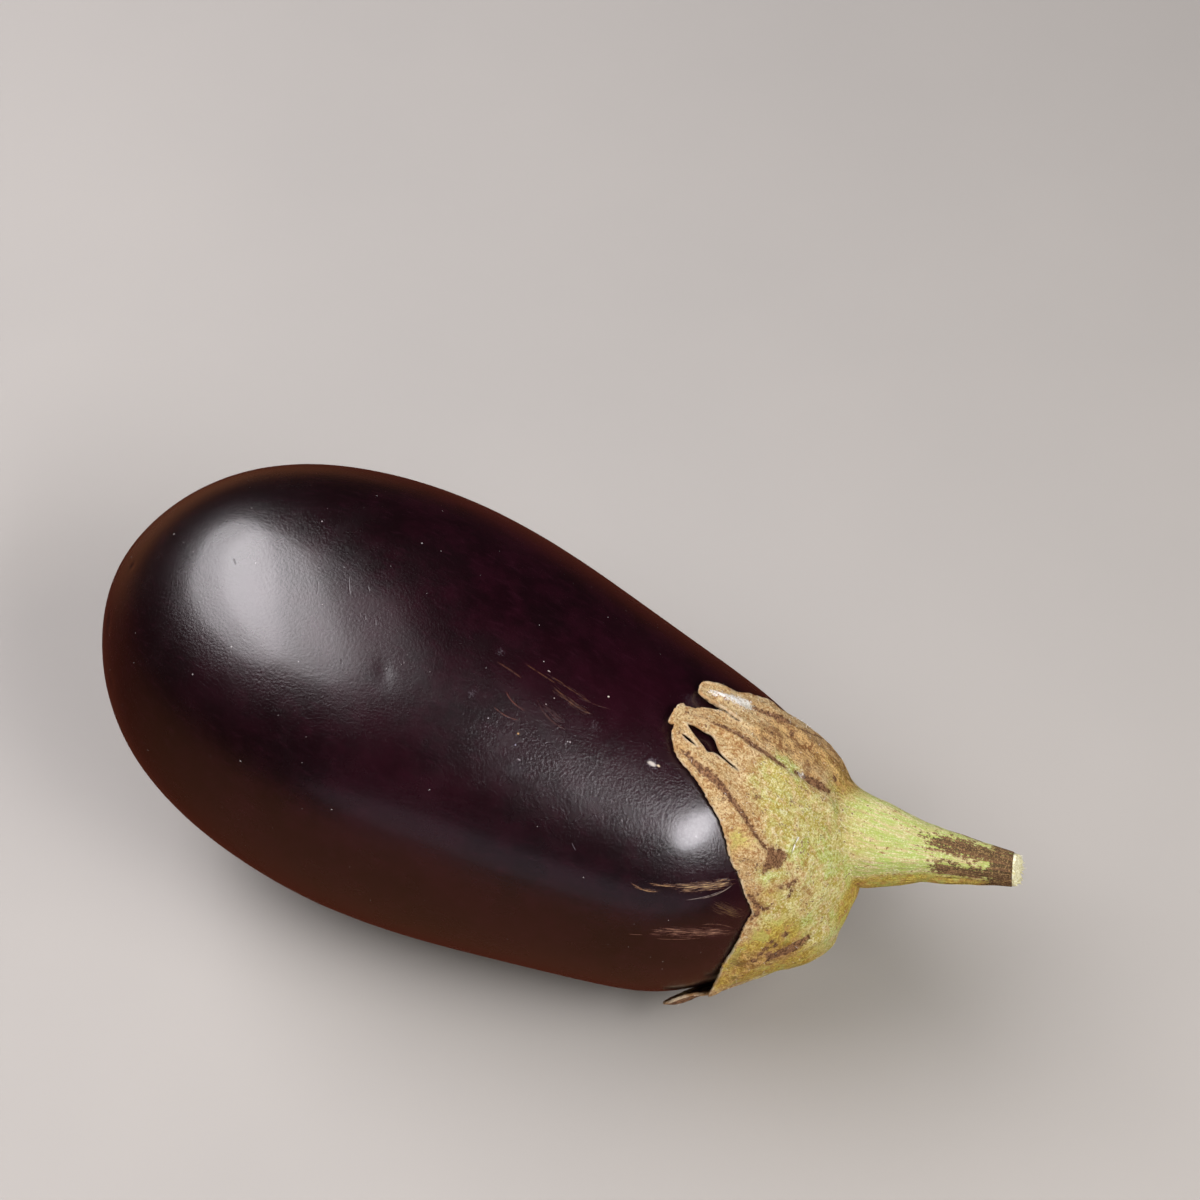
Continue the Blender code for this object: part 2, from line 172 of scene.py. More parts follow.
# Mesh points beside the dark lines: how far apart and how far aside, in mm
LINE_POINT_STEP = 0.45
LINE_SIDE = 0.32
# Dark patches: distance, angle and radius in mm. The two at 212.5 and 215 degrees darken lobe E's
# curled tip: partly its own dark brown, partly painted shade where it hangs under the fruit
DARK_AND_SHADE_PATCHES = (
    (31, 114.8, 1.5), (32.6, 117, 1.5), (31, 117.6, 1.3), (32.9, 120.5, 0.9), (33.4, 114.4, 0.9),
    (32.7, 123, 0.6), (29.8, 113.6, 0.7), (25.9, 124.7, 0.7), (27.4, 127, 0.6), (25.3, 121.6, 0.5),
    (24.5, 130.2, 0.5), (24.6, 126.6, 0.5), (41.6, 99.1, 0.4), (21.3, 155.5, 0.8), (22.6, 164.2, 0.7),
    (24.7, 166.6, 0.7), (25.5, 169.8, 0.7), (23.6, 171.5, 0.9), (26.8, 174, 0.6), (24, 160, 0.5),
    (22.5, 186, 0.5), (33.2, 139, 0.4), (31.6, 134, 0.4), (44.5, 215, 4.2), (39, 212.5, 2.6),
    (52, 269, 1.2), (54, 336, 1.2), (38, 300, 0.9), (25, 330, 1), (20, 260, 1.2), (36, 69, 0.5),
    (29, 61, 0.6), (42, 63, 0.6), (45.5, 72, 0.4), (47.5, 106.4, 0.3),
)
# Areas of one tint: distance, angle, radius in mm and strength
WARM_AREAS = (
    (38.5, 62.5, 7, 0.95), (44, 66.5, 4.5, 0.8), (31, 48, 9, 0.75), (26, 38, 8, 0.6),
    (47, 74.3, 3.5, 0.75), (34.5, 72, 4, 0.55), (42.5, 71, 4.5, 0.85), (40, 122, 3, 0.5),
    (34, 137, 3.5, 0.75), (30, 140, 3, 0.6), (27, 176, 6, 0.7), (20, 174, 4, 0.8), (30, 193, 4, 0.6),
    (28, 130, 4, 0.3), (12, 218, 8, 0.4), (36, 215, 9, 0.7), (45, 268, 9, 0.6), (46, 338, 9, 0.6),
    (30, 300, 8, 0.5), (38, 5, 8, 0.5), (60.5, 99, 2.5, 0.55), (33, 84, 3, 0.45),
)
GREEN_AREAS = (
    (37, 89, 8, 0.95), (28, 95, 9, 1), (16, 85, 14, 1), (12, 150, 12, 1), (33, 102.5, 6, 0.95),
    (24, 140, 7, 0.9), (22, 160, 7, 0.85), (16, 230, 12, 0.9), (14, 300, 14, 0.9), (14, 0, 14, 0.9),
    (30, 122, 5, 0.6), (38, 96, 6, 0.7),
)
OLIVE_AREAS = (
    (29, 174, 7, 0.95), (27, 196, 7, 0.95), (18, 200, 8, 0.9), (33, 192, 4, 0.75), (26, 52, 7, 0.8),
    (34, 60, 5, 0.5), (20, 140, 5, 0.35), (29, 133, 4, 0.5), (20, 45, 8, 0.6), (4, 105, 6, 0.95),
    (23, 163, 8, 0.85), (41, 117, 6, 0.45),
)
# White fuzz on lobe A and beside a rib: points with a half width in mm at each
FUZZ_LINES = (
    ((61.1, 72.8, 0.2), (58.6, 72.2, 0.4), (56.5, 70.5, 0.8), (54.4, 68.9, 1.15), (52.6, 67.9, 0.8)),
    ((35.1, 77.8, 0.25), (35.8, 76.4, 0.25)),
)
# The lip of lobe A where it folds over lobe B: from the notch in, distance and angle
FOLD = ((57.3, 76.9), (54.5, 76.9), (50.5, 76.6), (46.0, 75.0), (42.0, 73.0))
FOLD_HEIGHT = 0.0007
FOLD_WIDTH = 0.0020
# Where the lip rises and ends, in mm from the stem pole
FOLD_STARTS = (42.0, 48.0)
FOLD_ENDS = (66.0, 58.3)
# Grooves at the dark lines, with banks; their spread is in square mm and the place in mm
DARK_LINE_SINK = 0.00030
GROOVE_SPREAD = 0.12
BANK_PLACE = 0.75
BANK_HEIGHT = 0.00012
# The crease, which runs along this one of the dark lines
CREASE_LINE = 6
CREASE_DEPTH = 0.0005
CREASE_WIDTH = 0.0012
# The calyx's mesh on the flat plan, in mm
GRID_STEP = 0.54
GRID_REACH = 67.0
GRID_CLEARANCE = 0.30
OUTLINE_STEP = 0.50
HOLE_STEP = 0.40
MERGE_DISTANCE = 1e-5
# The rim's ragged line, in mm; so fine that each point of it gets its own offset
RAGGED_EDGE = 0.17
RAGGED_SIZE = 0.0011
FIBRE_HEIGHT = 0.00015
# Length of the fibres' waves in mm, how closely they lie round the stem, and how much
# shorter and closer the fine ones are
FIBRE_LENGTH = 7.0
FIBRES_ROUND = 5.0
FINE_FIBRES = np.array([1.2, 3.4, 3.4])
LUMP_SIZE = 0.0048
LUMP_HEIGHT = 0.00032
CRUMPLE_SIZE = 0.0019
CRUMPLE_HEIGHT = 0.00013
CALYX_THINNEST = 0.00035
RELIEF_FROM_EDGE = 0.002
RIBS_FROM_EDGE = 0.003
EDGE_WAVE = 0.00035
EDGE_WAVE_SIZE = 0.006
EDGE_WAVE_REACH = 0.003
# The most that the material is told of a distance to a line or an edge, in mm
FAR_AWAY = 12.0

# The stem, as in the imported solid
STEM_BASE = Vector((0.0880, 0.0116, 0.0117))
STEM_END = Vector((0.1198, 0.0179, 0.0169))
STEM_RADII = ((-0.10, 0.0116), (0.0, 0.0102), (0.21, 0.0083), (0.41, 0.0063), (0.56, 0.0056),
              (0.71, 0.0048), (1.0, 0.0036))
STEM_RIBS = 5
STEM_RIB_DEPTH = 0.045
COLLAR_PLACE = (15.5, 47.7)
COLLAR_RADIUS = 12.6
COLLAR_LEVEL = 0.74
COLLAR_RISE = -0.04
COLLAR_TOP = 0.14
STEM_SIDES = 110
COLLAR_RINGS = 20
STEM_RINGS = 60
STEM_ROUGHNESS = 0.00028
STEM_LUMP_SIZE = 0.006
# Brown bands up the stem: middle and half width in degrees round it, and where each
# starts and is full, from 0 at the calyx to 1 at the cut
BARK_BANDS = ((97, 24, 0.24, 0.60), (156, 21, 0.34, 0.60), (250, 30, 0.50, 0.76),
              (318, 26, 0.40, 0.66), (22, 18, 0.40, 0.70))
BARK_RING = (0.76, 0.90)
# The olive underside of the stem: middle and half width in degrees round it
STEM_OLIVE = (214, 42)
BARK_END = 0.985
BARK_LONG_SIDE = radians(217)
BARK_SLANT = 0.00043
BARK_SLANT_START = 0.7
PITH_SCALE = 0.93
PITH_JAG = 0.0006
PITH_REACH = 0.0011
PITH_SLANT = 0.0009
PITH_LONG_SIDE = radians(-75)
PITH_START = 0.90
PITH_RINGS = 7
PITH_JAG_SIZES = (0.0013, 0.0005)
PITH_GRAIN_SIZE = 0.0010
PITH_FACE_SCALES = (0.8, 0.55, 0.3, 0.1)
# Fibres at the cut: how many, between which turns and shares of the radius, how far they
# lean, their lengths in mm, and how deep they start
CUT_FIBRES = 26
CUT_FIBRE_TURNS = (-2.6, 0.6)
CUT_FIBRE_PLACES = (0.7, 0.97)
CUT_FIBRE_LEAN = 0.5
CUT_FIBRE_LENGTHS = (0.7, 1.4)
CUT_FIBRE_ROOT = 0.0005
CUT_FIBRE_WIDTH = 0.00022
CUT_SHARP_ANGLE = radians(40)

# Hairs on the calyx
HAIR_COUNT = 620
FUZZ_COUNT = 320
FUZZ_REACH = 1.1
HAIR_WIDTH = 0.00006
# How upright the hairs are, and the shortest and longest in mm
HAIR_SHAPE = (0.7, 0.35, 1.1)
FUZZ_SHAPE = (0.5, 0.5, 1.2)
HAIR_SPREAD = 0.55
HAIR_SCATTER = 0.0002
HAIR_ROOT = 0.0002
HAIR_SIDE = np.array([0.6, 0.5, 0.62])
HAIR_EDGE_WIDTH = 0.002
HAIR_ELSEWHERE = 0.15
LOOSE_FIBRE = ((29.6, 102.9), (29.3, 106.4), (28.8, 111.4))
LOOSE_FIBRE_LIFT = 0.0005
LOOSE_FIBRE_WIDTH = 0.00020
LOOSE_FIBRE_OVERLAP = 0.2
SEED = 7

# Camera and light
CAMERA_AZIMUTH = radians(-64.65)
CAMERA_ELEVATION = radians(50)
CAMERA_DISTANCE = 0.7589
CAMERA_AIM = Vector((-0.0038, 0.0376, 0.0588))
FIELD_OF_VIEW = radians(20)
# Lights: name, azimuth, elevation and distance from the aim, width, height, turn, power in
# watts and colour, with angles in degrees
LIGHTS = (
    ("window", 184, 43, 0.95, 1.34, 0.50, 15, 7.7, (1.0, 0.965, 1.0)),
    ("window_top", 190, 57, 0.95, 1.34, 0.50, 15, 5.6, (1.0, 0.965, 1.0)),
    ("window_rim", 196, 74, 0.95, 1.10, 0.50, 15, 0.8, (1.0, 0.96, 1.0)),
    ("lamp", -30.5, 44.5, 0.95, 0.56, 0.17, 29, 4.2, (0.99, 0.96, 1.0)),
    ("low_card", -73, -2, 1.20, 1.50, 0.36, 0, 0.43, (0.88, 0.84, 1.0)),
)
# Lights for the dry parts, which the skin doesn't mirror
FILL_LIGHTS = (
    ("fill", -12, 45, 1.0, 0.6, 0.6, 0, 5.0, (1.0, 0.97, 0.91)),
    ("front_fill", -65, 16, 1.0, 0.8, 0.4, 0, 1.3, (1.0, 0.82, 0.58)),
)
LIGHT_AIM = Vector((0.0, 0.0, 0.05))
FLOOR_SIZE = 4.0
WORLD_ABOVE = (0.010, 0.010, 0.012)
WORLD_BELOW = (0.09, 0.022, 0.012)
# Warm glows under the horizon: azimuth in degrees, how far off it they start and are full,
# as the cosine, and colour
WORLD_GLOWS = ((-60, (-0.3, 1.0), (0.36, 0.15, 0.075)), (143, (0.78, 0.97), (0.26, 0.10, 0.045)))
WORLD_EDGE = (-0.34, -0.08)


def bell(distance, width):
    """1 at no distance, falling off smoothly over a width."""
    return np.exp(-(distance / width) ** 2)


def turn_from(start, angle):
    """The turn from one angle to others, at most half a turn either way."""
    return (angle - start + pi) % (2 * pi) - pi


def circle(turns):
    """Points of a circle of radius 1."""
    return np.stack([np.cos(turns), np.sin(turns)], axis=-1)


def outline_shape(u):
    """Relative radius at u, from -1 at the blossom end to 1 at the stem end."""
    factor = 1.0
    for power, term in enumerate(OUTLINE_TERMS, start=1):
        factor = factor + term * u ** power
    return np.sqrt(np.clip(1.0 - u * u, 0.0, None)) * factor


PLACES = -np.cos(np.linspace(0.0, pi, OUTLINE_PLACES + 1))
WIDEST = outline_shape(PLACES).max()


def fruit_radius(u):
    return outline_shape(u) / WIDEST * FRUIT_DIAMETER / 2


def arc_table():
    """Distance from the stem pole along the skin, for each of PLACES."""
    steps = np.hypot(np.diff(PLACES) * FRUIT_LENGTH / 2, np.diff(fruit_radius(PLACES)))
    return np.append(np.cumsum(steps[::-1])[::-1], 0.0)


ARCS = arc_table()


def place_at(arc):
    return np.interp(arc, ARCS[::-1], PLACES[::-1])


def arc_at(u):
    return np.interp(u, PLACES, ARCS)


def fruit_points(u, angle, offset=0.0):
    """Points of the fruit's surface, moved out by offset, in the fruit's own frame."""
    radius = fruit_radius(u)
    facing = np.clip(np.cos(angle - SHOULDER_CUT_ANGLE), 0.0, None)
    cut = bell(u - SHOULDER_CUT_PLACE, SHOULDER_CUT_WIDTH)
    radius = radius - (SHOULDER_CUT * facing ** 2 * cut
                       * np.clip(radius / SHOULDER_CUT_POLE_RADIUS, 0.0, 1.0))
    low = np.clip(u - SLOPE_STEP, -1.0, 1.0)
    high = np.clip(u + SLOPE_STEP, -1.0, 1.0)
    run = (high - low) * FRUIT_LENGTH / 2
    rise = fruit_radius(high) - fruit_radius(low)
    length = np.hypot(run, rise)
    out = radius + offset * run / length
    lean = np.clip((u - NECK_LEAN_START) / (1.0 - NECK_LEAN_START), 0.0, None) ** 2
    return np.stack([
        u * FRUIT_LENGTH / 2 - offset * rise / length,
        out * np.cos(angle) + NECK_LEAN_Y * lean,
        out * np.sin(angle) + NECK_LEAN_Z * lean,
    ], axis=-1)


def plan_points(pairs):
    """Points in mm of the flat plan round the stem pole, for distances and angles."""
    pairs = np.asarray(pairs, float)
    angle = np.radians(pairs[:, 1])
    return np.stack([pairs[:, 0] * np.cos(angle), pairs[:, 0] * np.sin(angle)], axis=-1)


def over_fruit(plan, offset=0.0):
    """Points over the fruit for points of the flat plan."""
    arc = np.hypot(plan[:, 0], plan[:, 1]) * MM
    return fruit_points(place_at(arc), np.arctan2(plan[:, 1], plan[:, 0]), offset)


def distance_to(seats, place):
    """Distance of points over the fruit from one place on it."""
    return np.linalg.norm(seats - over_fruit(plan_points([place])), axis=1)


def tip(points):
    """Turns points of the fruit's own frame to how it lies, still about its middle."""
    x, y, z = np.moveaxis(np.asarray(points, float), -1, 0)
    return np.stack([x * cos(REST_PITCH) + z * sin(REST_PITCH), y,
                     z * cos(REST_PITCH) - x * sin(REST_PITCH)], axis=-1)


def find_shift():
    """Where the fruit's middle lies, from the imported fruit's box."""
    u, angle = np.meshgrid(PLACES[::20], np.linspace(0.0, 2 * pi, 361))
    points = tip(fruit_points(u, angle)).reshape(-1, 3)
    low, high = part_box("fruit")
    centre_y = (points[:, 1].min() + points[:, 1].max()) / 2
    return np.array([high.x - points[:, 0].max(),
                     (low.y + high.y) / 2 - centre_y,
                     high.z - points[:, 2].max()])


SHIFT = find_shift()


def to_world(points):
    return tip(points) + SHIFT


def noise_at(points, size, seed=0.0):
    """Smooth noise from -1 to 1 with features of about size."""
    offset = Vector((seed, 1.7 * seed, -seed))
    return np.array([noise.noise(Vector(point) / size + offset) for point in points])


def ramp(value, low, high):
    t = np.clip((value - low) / (high - low), 0.0, 1.0)
    return t * t * (3.0 - 2.0 * t)


def tree_of(points):
    tree = kdtree.KDTree(len(points))
    for index, point in enumerate(points):
        tree.insert(point, index)
    tree.balance()
    return tree


def nearest(tree, points):
    """Distance from each point to the nearest in the tree, and that one's index."""
    found = [tree.find(point) for point in points]
    return np.array([hit[2] for hit in found]), np.array([hit[1] for hit in found])


def new_mesh(name, points, faces, *materials):
    mesh = bpy.data.meshes.new(name)
    mesh.from_pydata([tuple(point) for point in points], [], faces)
    for material in materials:
        mesh.materials.append(material)
    mesh.shade_smooth()
    mesh.update()
    return mesh


def bridge(near, far):
    """Faces between two rings of vertices."""
    count = len(near)
    return [(near[i], near[(i + 1) % count], far[(i + 1) % count], far[i])
            for i in range(count)]


def add_object(name, data):
    made = bpy.data.objects.new(name, data)
    bpy.context.scene.collection.objects.link(made)
    return made


def add_piece(mesh, slot_name, *nodes):
    """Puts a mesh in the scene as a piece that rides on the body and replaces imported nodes."""
    piece = add_object(mesh.name, mesh)
    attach(piece, "root")
    if nodes:
        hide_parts(*nodes)


def write_values(mesh, name, kind, values, domain="POINT"):
    """Keeps numbers or vectors on the mesh for its material."""
    attribute = mesh.attributes.new(name, kind, domain)
    field = "vector" if kind == "FLOAT_VECTOR" else "value"
    attribute.data.foreach_set(field, np.asarray(values, np.float32).ravel())


class Graph:
    """The nodes of a material or of the world. Any input takes a socket or a constant."""

    def __init__(self, owner):
        owner.use_nodes = True
        self.owner = owner
        self.nodes = owner.node_tree.nodes
        self.links = owner.node_tree.links

    def node(self, kind, inputs=(), **settings):
        made = self.nodes.new(kind)
        for key, value in settings.items():
            setattr(made, key, value)
        for key, value in dict(inputs).items():
            self.feed(made.inputs[key], value)
        return made

    def feed(self, socket, value):
        if isinstance(value, bpy.types.NodeSocket):
            self.links.new(value, socket)
        else:
            socket.default_value = value

    def shade(self, **inputs):
        """Feeds the material's shader and gives back the material."""
        for key, value in inputs.items():
            self.feed(self.nodes["Principled BSDF"].inputs[key.replace("_", " ")], value)
        return self.owner

    def object_mm(self):
        place = self.node("ShaderNodeTexCoord").outputs["Object"]
        return self.vector_math("MULTIPLY", place, (1000.0, 1000.0, 1000.0))

    def math(self, operation, first, second=0.0):
        return self.node("ShaderNodeMath", {0: first, 1: second}, operation=operation).outputs[0]

    def add(self, *terms):
        """The sum of values, each given alone or in a pair with its weight."""
        total = None
        for term in terms:
            value = self.times(*term) if isinstance(term, tuple) else term
            total = value if total is None else self.math("ADD", total, value)
        return total

    def times(self, *factors):
        total = factors[0]
        for factor in factors[1:]:
            total = self.math("MULTIPLY", total, factor)
        return total

    def vector_math(self, operation, first, second=(0.0, 0.0, 0.0)):
        made = self.node("ShaderNodeVectorMath", {0: first, 1: second}, operation=operation)
        numbers = ("DISTANCE", "LENGTH", "DOT_PRODUCT")
        return made.outputs["Value" if operation in numbers else "Vector"]

    def split(self, vector):
        return self.node("ShaderNodeSeparateXYZ", {"Vector": vector}).outputs

    def fade(self, value, low, high):
        """0 where value is at low, 1 at high, smooth between; low may be above high."""
        return self.node("ShaderNodeMapRange", {"Value": value, "From Min": low, "From Max": high},
                         interpolation_type="SMOOTHSTEP").outputs["Result"]

    def band(self, value, edge, full):
        """1 where value is within full of 0, down to 0 where it is edge or more."""
        return self.fade(self.math("ABSOLUTE", value), edge, full)

    def mix(self, factor, first, second):
        made = self.node("ShaderNodeMix", {0: factor}, data_type="RGBA")
        for index, value in ((6, first), (7, second)):
            self.feed(made.inputs[index], (*value, 1.0) if isinstance(value, tuple) else value)
        return made.outputs[2]

    def layers(self, colour, *layers):
        """Lays tints over a colour, each given by where it is, how strong and the tint."""
        for mask, strength, tint in layers:
            colour = self.mix(self.times(mask, strength), colour, tint)
        return colour

    def noise(self, vector, size, detail=3.0, roughness=0.5):
        """Noise from 0 to 1 with features of about size, in the vector's unit."""
        inputs = {"Vector": vector, "Scale": 1.0 / size, "Detail": detail, "Roughness": roughness}
        return self.node("ShaderNodeTexNoise", inputs).outputs["Fac"]

    def stretch(self, vector, x, y, z):
        return self.vector_math("MULTIPLY", vector, (x, y, z))

    def values(self, name, output="Fac"):
        return self.node("ShaderNodeAttribute", attribute_name=name).outputs[output]

    def bump(self, height, distance, strength=1.0, normal=None):
        inputs = {"Height": height, "Distance": distance, "Strength": strength}
        if normal is not None:
            inputs["Normal"] = normal
        return self.node("ShaderNodeBump", inputs).outputs["Normal"]


def new_graph(name):
    return Graph(bpy.data.materials.new(name))


def map_mm(place):
    """A place on the skin, in mm on its flat map."""
    return Vector((place[0], radians(place[1]) * SKIN_MAP_RADIUS, 0.0))


def stroke_frame(graph, place, start, middle, end):
    """Coordinates along a bent stroke: -1 to 1 from end to end, and mm off its middle line."""
    first = map_mm(start)
    last = map_mm(end)
    centre = (first + last) / 2
    half = (last - first).length / 2
    turn = Matrix.Rotation(-atan2(last.y - first.y, last.x - first.x), 3, "Z")
    bow = turn @ (map_mm(middle) - centre)
    sag = bow.y / (1.0 - (bow.x / half) ** 2)
    moved = graph.vector_math("SUBTRACT", place, tuple(centre))
    turned = graph.node("ShaderNodeVectorRotate", {"Vector": moved, "Angle": turn.to_euler().z},
                        rotation_type="Z_AXIS").outputs["Vector"]
    parts = graph.split(turned)
    along = graph.math("DIVIDE", parts["X"], half)
    bend = graph.math("SUBTRACT", 1.0, graph.times(along, along))
    return along, graph.math("SUBTRACT", parts["Y"], graph.times(bend, sag)), half


def on_stroke(graph, along, across, half_width, core, full_ends):
    """1 on a stroke, fading outside a share of its width and of its length."""
    return graph.times(graph.band(across, half_width, half_width * core),
                       graph.band(along, 1.0, full_ends))


# Thin scratches: start, middle, end, half width in mm, colour and strength
SCRATCHES = (
    ((102.6, 101.8), (99.5, 102), (96, 102.6), 0.24, (0.07, 0.022, 0.01), 0.65),
    ((98.1, 107.6), (95.5, 109.6), (92.1, 110.1), 0.18, (0.105, 0.024, 0.012), 0.75),
    ((98.8, 113), (96.3, 113.8), (92.3, 113.2), 0.16, (0.095, 0.024, 0.012), 0.7),
    ((91.6, 105.4), (88.6, 108.2), (82.6, 109.5), 0.2, (0.06, 0.016, 0.009), 0.6),
    ((84.6, 99.3), (81.3, 98.8), (76.5, 97.2), 0.2, (0.04, 0.012, 0.008), 0.5),
    ((97.6, 98.2), (92.5, 98.7), (89.1, 98.9), 0.2, (0.075, 0.026, 0.01), 0.65),
    ((45.6, 144.7), (42, 141.5), (38.6, 136.6), 0.1, (0.42, 0.35, 0.33), 0.6),
    ((43.2, 143), (40.2, 139.9), (37, 132.8), 0.15, (0.4, 0.32, 0.26), 0.55),
    ((54.2, 164.2), (52.5, 163.6), (51, 162.9), 0.12, (0.24, 0.11, 0.08), 0.6),
    ((48.6, 163.5), (44.2, 162.2), (38.9, 159.9), 0.13, (0.26, 0.12, 0.08), 0.6),
    ((40.4, 153.7), (35.9, 152.4), (32.9, 153.7), 0.13, (0.26, 0.13, 0.09), 0.6),
    ((39.1, 157.8), (36.8, 157), (34.1, 156.7), 0.12, (0.3, 0.16, 0.11), 0.6),
    ((72, 139), (71.3, 140), (70.5, 141), 0.12, (0.18, 0.15, 0.18), 0.45),
)
# Bands of fine strokes: start, middle, end, half width, pale and dark colour and strength
STREAKS = (
    ((91.4, 99.8), (85.2, 101.5), (78.8, 101.6), 1.05, (0.09, 0.034, 0.012), (0.034, 0.011, 0.007),
     0.9),
    ((94, 98.2), (87.5, 98), (79.6, 98.9), 0.5, (0.075, 0.028, 0.011), (0.032, 0.01, 0.007), 0.75),
    ((90.5, 106), (87.1, 107.3), (83, 108.4), 1.3, (0.045, 0.009, 0.009), (0.026, 0.006, 0.007), 0.7),
    ((58, 144.6), (54.4, 145.4), (50.3, 143.4), 0.6, (0.34, 0.2, 0.085), (0.13, 0.055, 0.03), 0.9),
    ((54.4, 143), (50.9, 141.7), (47.4, 139.6), 0.6, (0.38, 0.24, 0.105), (0.15, 0.065, 0.034), 0.9),
    ((50.4, 142.6), (42.5, 137.1), (36.2, 130.6), 1.9, (0.48, 0.34, 0.17), (0.17, 0.085, 0.045), 1),
    ((52, 161.6), (40.4, 157.4), (30.2, 155.2), 2.4, (0.36, 0.2, 0.13), (0.095, 0.036, 0.03), 0.85),
    ((40.4, 142.9), (35.8, 144.9), (31, 146.2), 2.5, (0.22, 0.14, 0.05), (0.085, 0.042, 0.026), 0.6),
)
# Shallow nicks that show in the highlight: start, middle, end, half width and strength
NICKS = (
    ((165.2, 104.9), (164.3, 105.8), (163.5, 106.9), 0.24, 1),
    ((158.8, 97.7), (157, 94.5), (155.4, 91.6), 0.5, 0.3),
    ((144.5, 102.8), (143.5, 105.1), (143, 107), 0.2, 0.75),
    ((139.1, 98.1), (137.9, 100.8), (136.4, 103.4), 0.22, 0.75),
    ((134.3, 98.8), (133.8, 99.5), (133.2, 100.1), 0.22, 0.9),
    ((129.1, 106.4), (128.8, 107.1), (128.4, 107.8), 0.2, 0.8),
    ((131.6, 106.5), (131.3, 107), (130.9, 107.5), 0.18, 0.7),
    ((131.9, 119.1), (131.5, 119.7), (131, 120.3), 0.24, 0.9),
)
# Dusty spots: place, radius in mm, strength and colour
DUSTY_SPOTS = (
    ((63.9, 106.5), 2, 0.3, (0.26, 0.24, 0.28)),
    ((63, 79), 3.5, 0.06, (0.26, 0.24, 0.28)),
    ((88.7, 125.3), 3, 0.08, (0.24, 0.22, 0.26)),
    ((78.1, 104.7), 1.8, 0.09, (0.26, 0.24, 0.27)),
    ((103.8, 112.7), 1.4, 0.11, (0.26, 0.24, 0.28)),
    ((102.8, 99.1), 1.4, 0.11, (0.26, 0.24, 0.28)),
)
# Small pale spots: place, half length along and half width around in mm, and colour
SPOTS = (
    ((63.9, 106.5), (1.25, 0.62), (0.56, 0.51, 0.46)),
    ((62.5, 106.1), (0.5, 0.34), (0.62, 0.5, 0.34)),
    ((91.5, 116.7), (0.32, 0.3), (0.42, 0.25, 0.1)),
    ((78.6, 94.1), (0.28, 0.24), (0.66, 0.6, 0.52)),
    ((88.3, 103), (0.2, 0.16), (0.42, 0.36, 0.34)),
    ((89.2, 105.7), (0.18, 0.15), (0.34, 0.28, 0.28)),
    ((98.5, 116.6), (0.2, 0.18), (0.36, 0.33, 0.36)),
    ((81.1, 112.2), (0.2, 0.18), (0.4, 0.36, 0.38)),
    ((91, 119.8), (0.22, 0.2), (0.3, 0.3, 0.4)),
    ((94, 94.9), (0.2, 0.17), (0.4, 0.36, 0.36)),
    ((92, 96.7), (0.45, 0.14), (0.45, 0.38, 0.36)),
    ((89, 123), (0.5, 0.14), (0.33, 0.3, 0.33)),
)


def within(marks, reach):
    """The marks whose first place is in a range of distances from the stem pole."""
    return [mark for mark in marks if reach[0] <= mark[0][0] < reach[1]]


def draw_strokes(graph, place, colour, reach):
    """Lays the scratches and streaks over the skin's colour; also where the skin is dull."""
    dull = 0.0
    breaks = graph.fade(graph.noise(place, 1.3, 2.0), 0.25, 0.55)
    for start, middle, end, half_width, tint, strength in within(SCRATCHES, reach):
        along, across, _ = stroke_frame(graph, place, start, middle, end)
        line = on_stroke(graph, along, across, half_width, 0.25, 0.55)
        mask = graph.times(line, breaks, strength)
        colour = graph.mix(mask, colour, tint)
        dull = graph.add(dull, mask)
    crumbs = graph.noise(place, 0.40, 2.0, 0.7)
    for start, middle, end, half_width, pale, brown, strength in within(STREAKS, reach):
        along, across, half = stroke_frame(graph, place, start, middle, end)
        flow = graph.node("ShaderNodeCombineXYZ", {
            "X": graph.times(along, half / 3.2), "Y": graph.math("DIVIDE", across, 0.30)})
        strokes = graph.noise(flow.outputs["Vector"], 1.0, 3.0, 0.60)
        inside_band = on_stroke(graph, along, across, half_width, 0.2, 0.3)
        level = graph.add(strokes, (inside_band, 0.16), (crumbs, 0.16))
        mask = graph.times(graph.fade(level, 0.63, 0.80), graph.fade(inside_band, 0.0, 0.35),
                           strength)
        tint = graph.mix(graph.fade(level, 0.74, 0.86), brown, pale)
        colour = graph.mix(mask, colour, tint)
        dull = graph.add(dull, (mask, 0.7))
    return colour, dull


def draw_spots(graph, place, colour, reach):
    """Lays dust and small pale spots over the skin's colour."""
    grains = graph.noise(place, 0.42, 2.0, 0.6)
    clouds = graph.noise(place, 2.2, 2.0)
    for centre, radius, strength, tint in within(DUSTY_SPOTS, reach):
        away = graph.vector_math("DISTANCE", place, tuple(map_mm(centre)))
        near = graph.fade(away, radius, 0.0)
        level = graph.add(grains, (near, 0.22), (clouds, 0.16))
        mask = graph.times(graph.fade(level, 0.66, 0.86), graph.fade(near, 0.0, 0.25))
        colour = graph.layers(colour, (mask, strength, tint))
    for centre, (long, wide), tint in within(SPOTS, reach):
        moved = graph.vector_math("SUBTRACT", place, tuple(map_mm(centre)))
        away = graph.vector_math("LENGTH", graph.stretch(moved, 1.0 / long, 1.0 / wide, 0.0))
        mask = graph.fade(graph.add(away, (grains, 0.9)), 1.45, 0.8)
        colour = graph.layers(colour, (mask, 0.9, tint))
    return colour


def draw_nicks(graph, place, reach):
    """Where the skin is nicked, from 0 to 1."""
    nicks = 0.0
    for start, middle, end, half_width, strength in within(NICKS, reach):
        along, across, _ = stroke_frame(graph, place, start, middle, end)
        nick = on_stroke(graph, along, across, half_width, 0.0, 0.3)
        nicks = graph.add(nicks, (nick, strength))
    return nicks


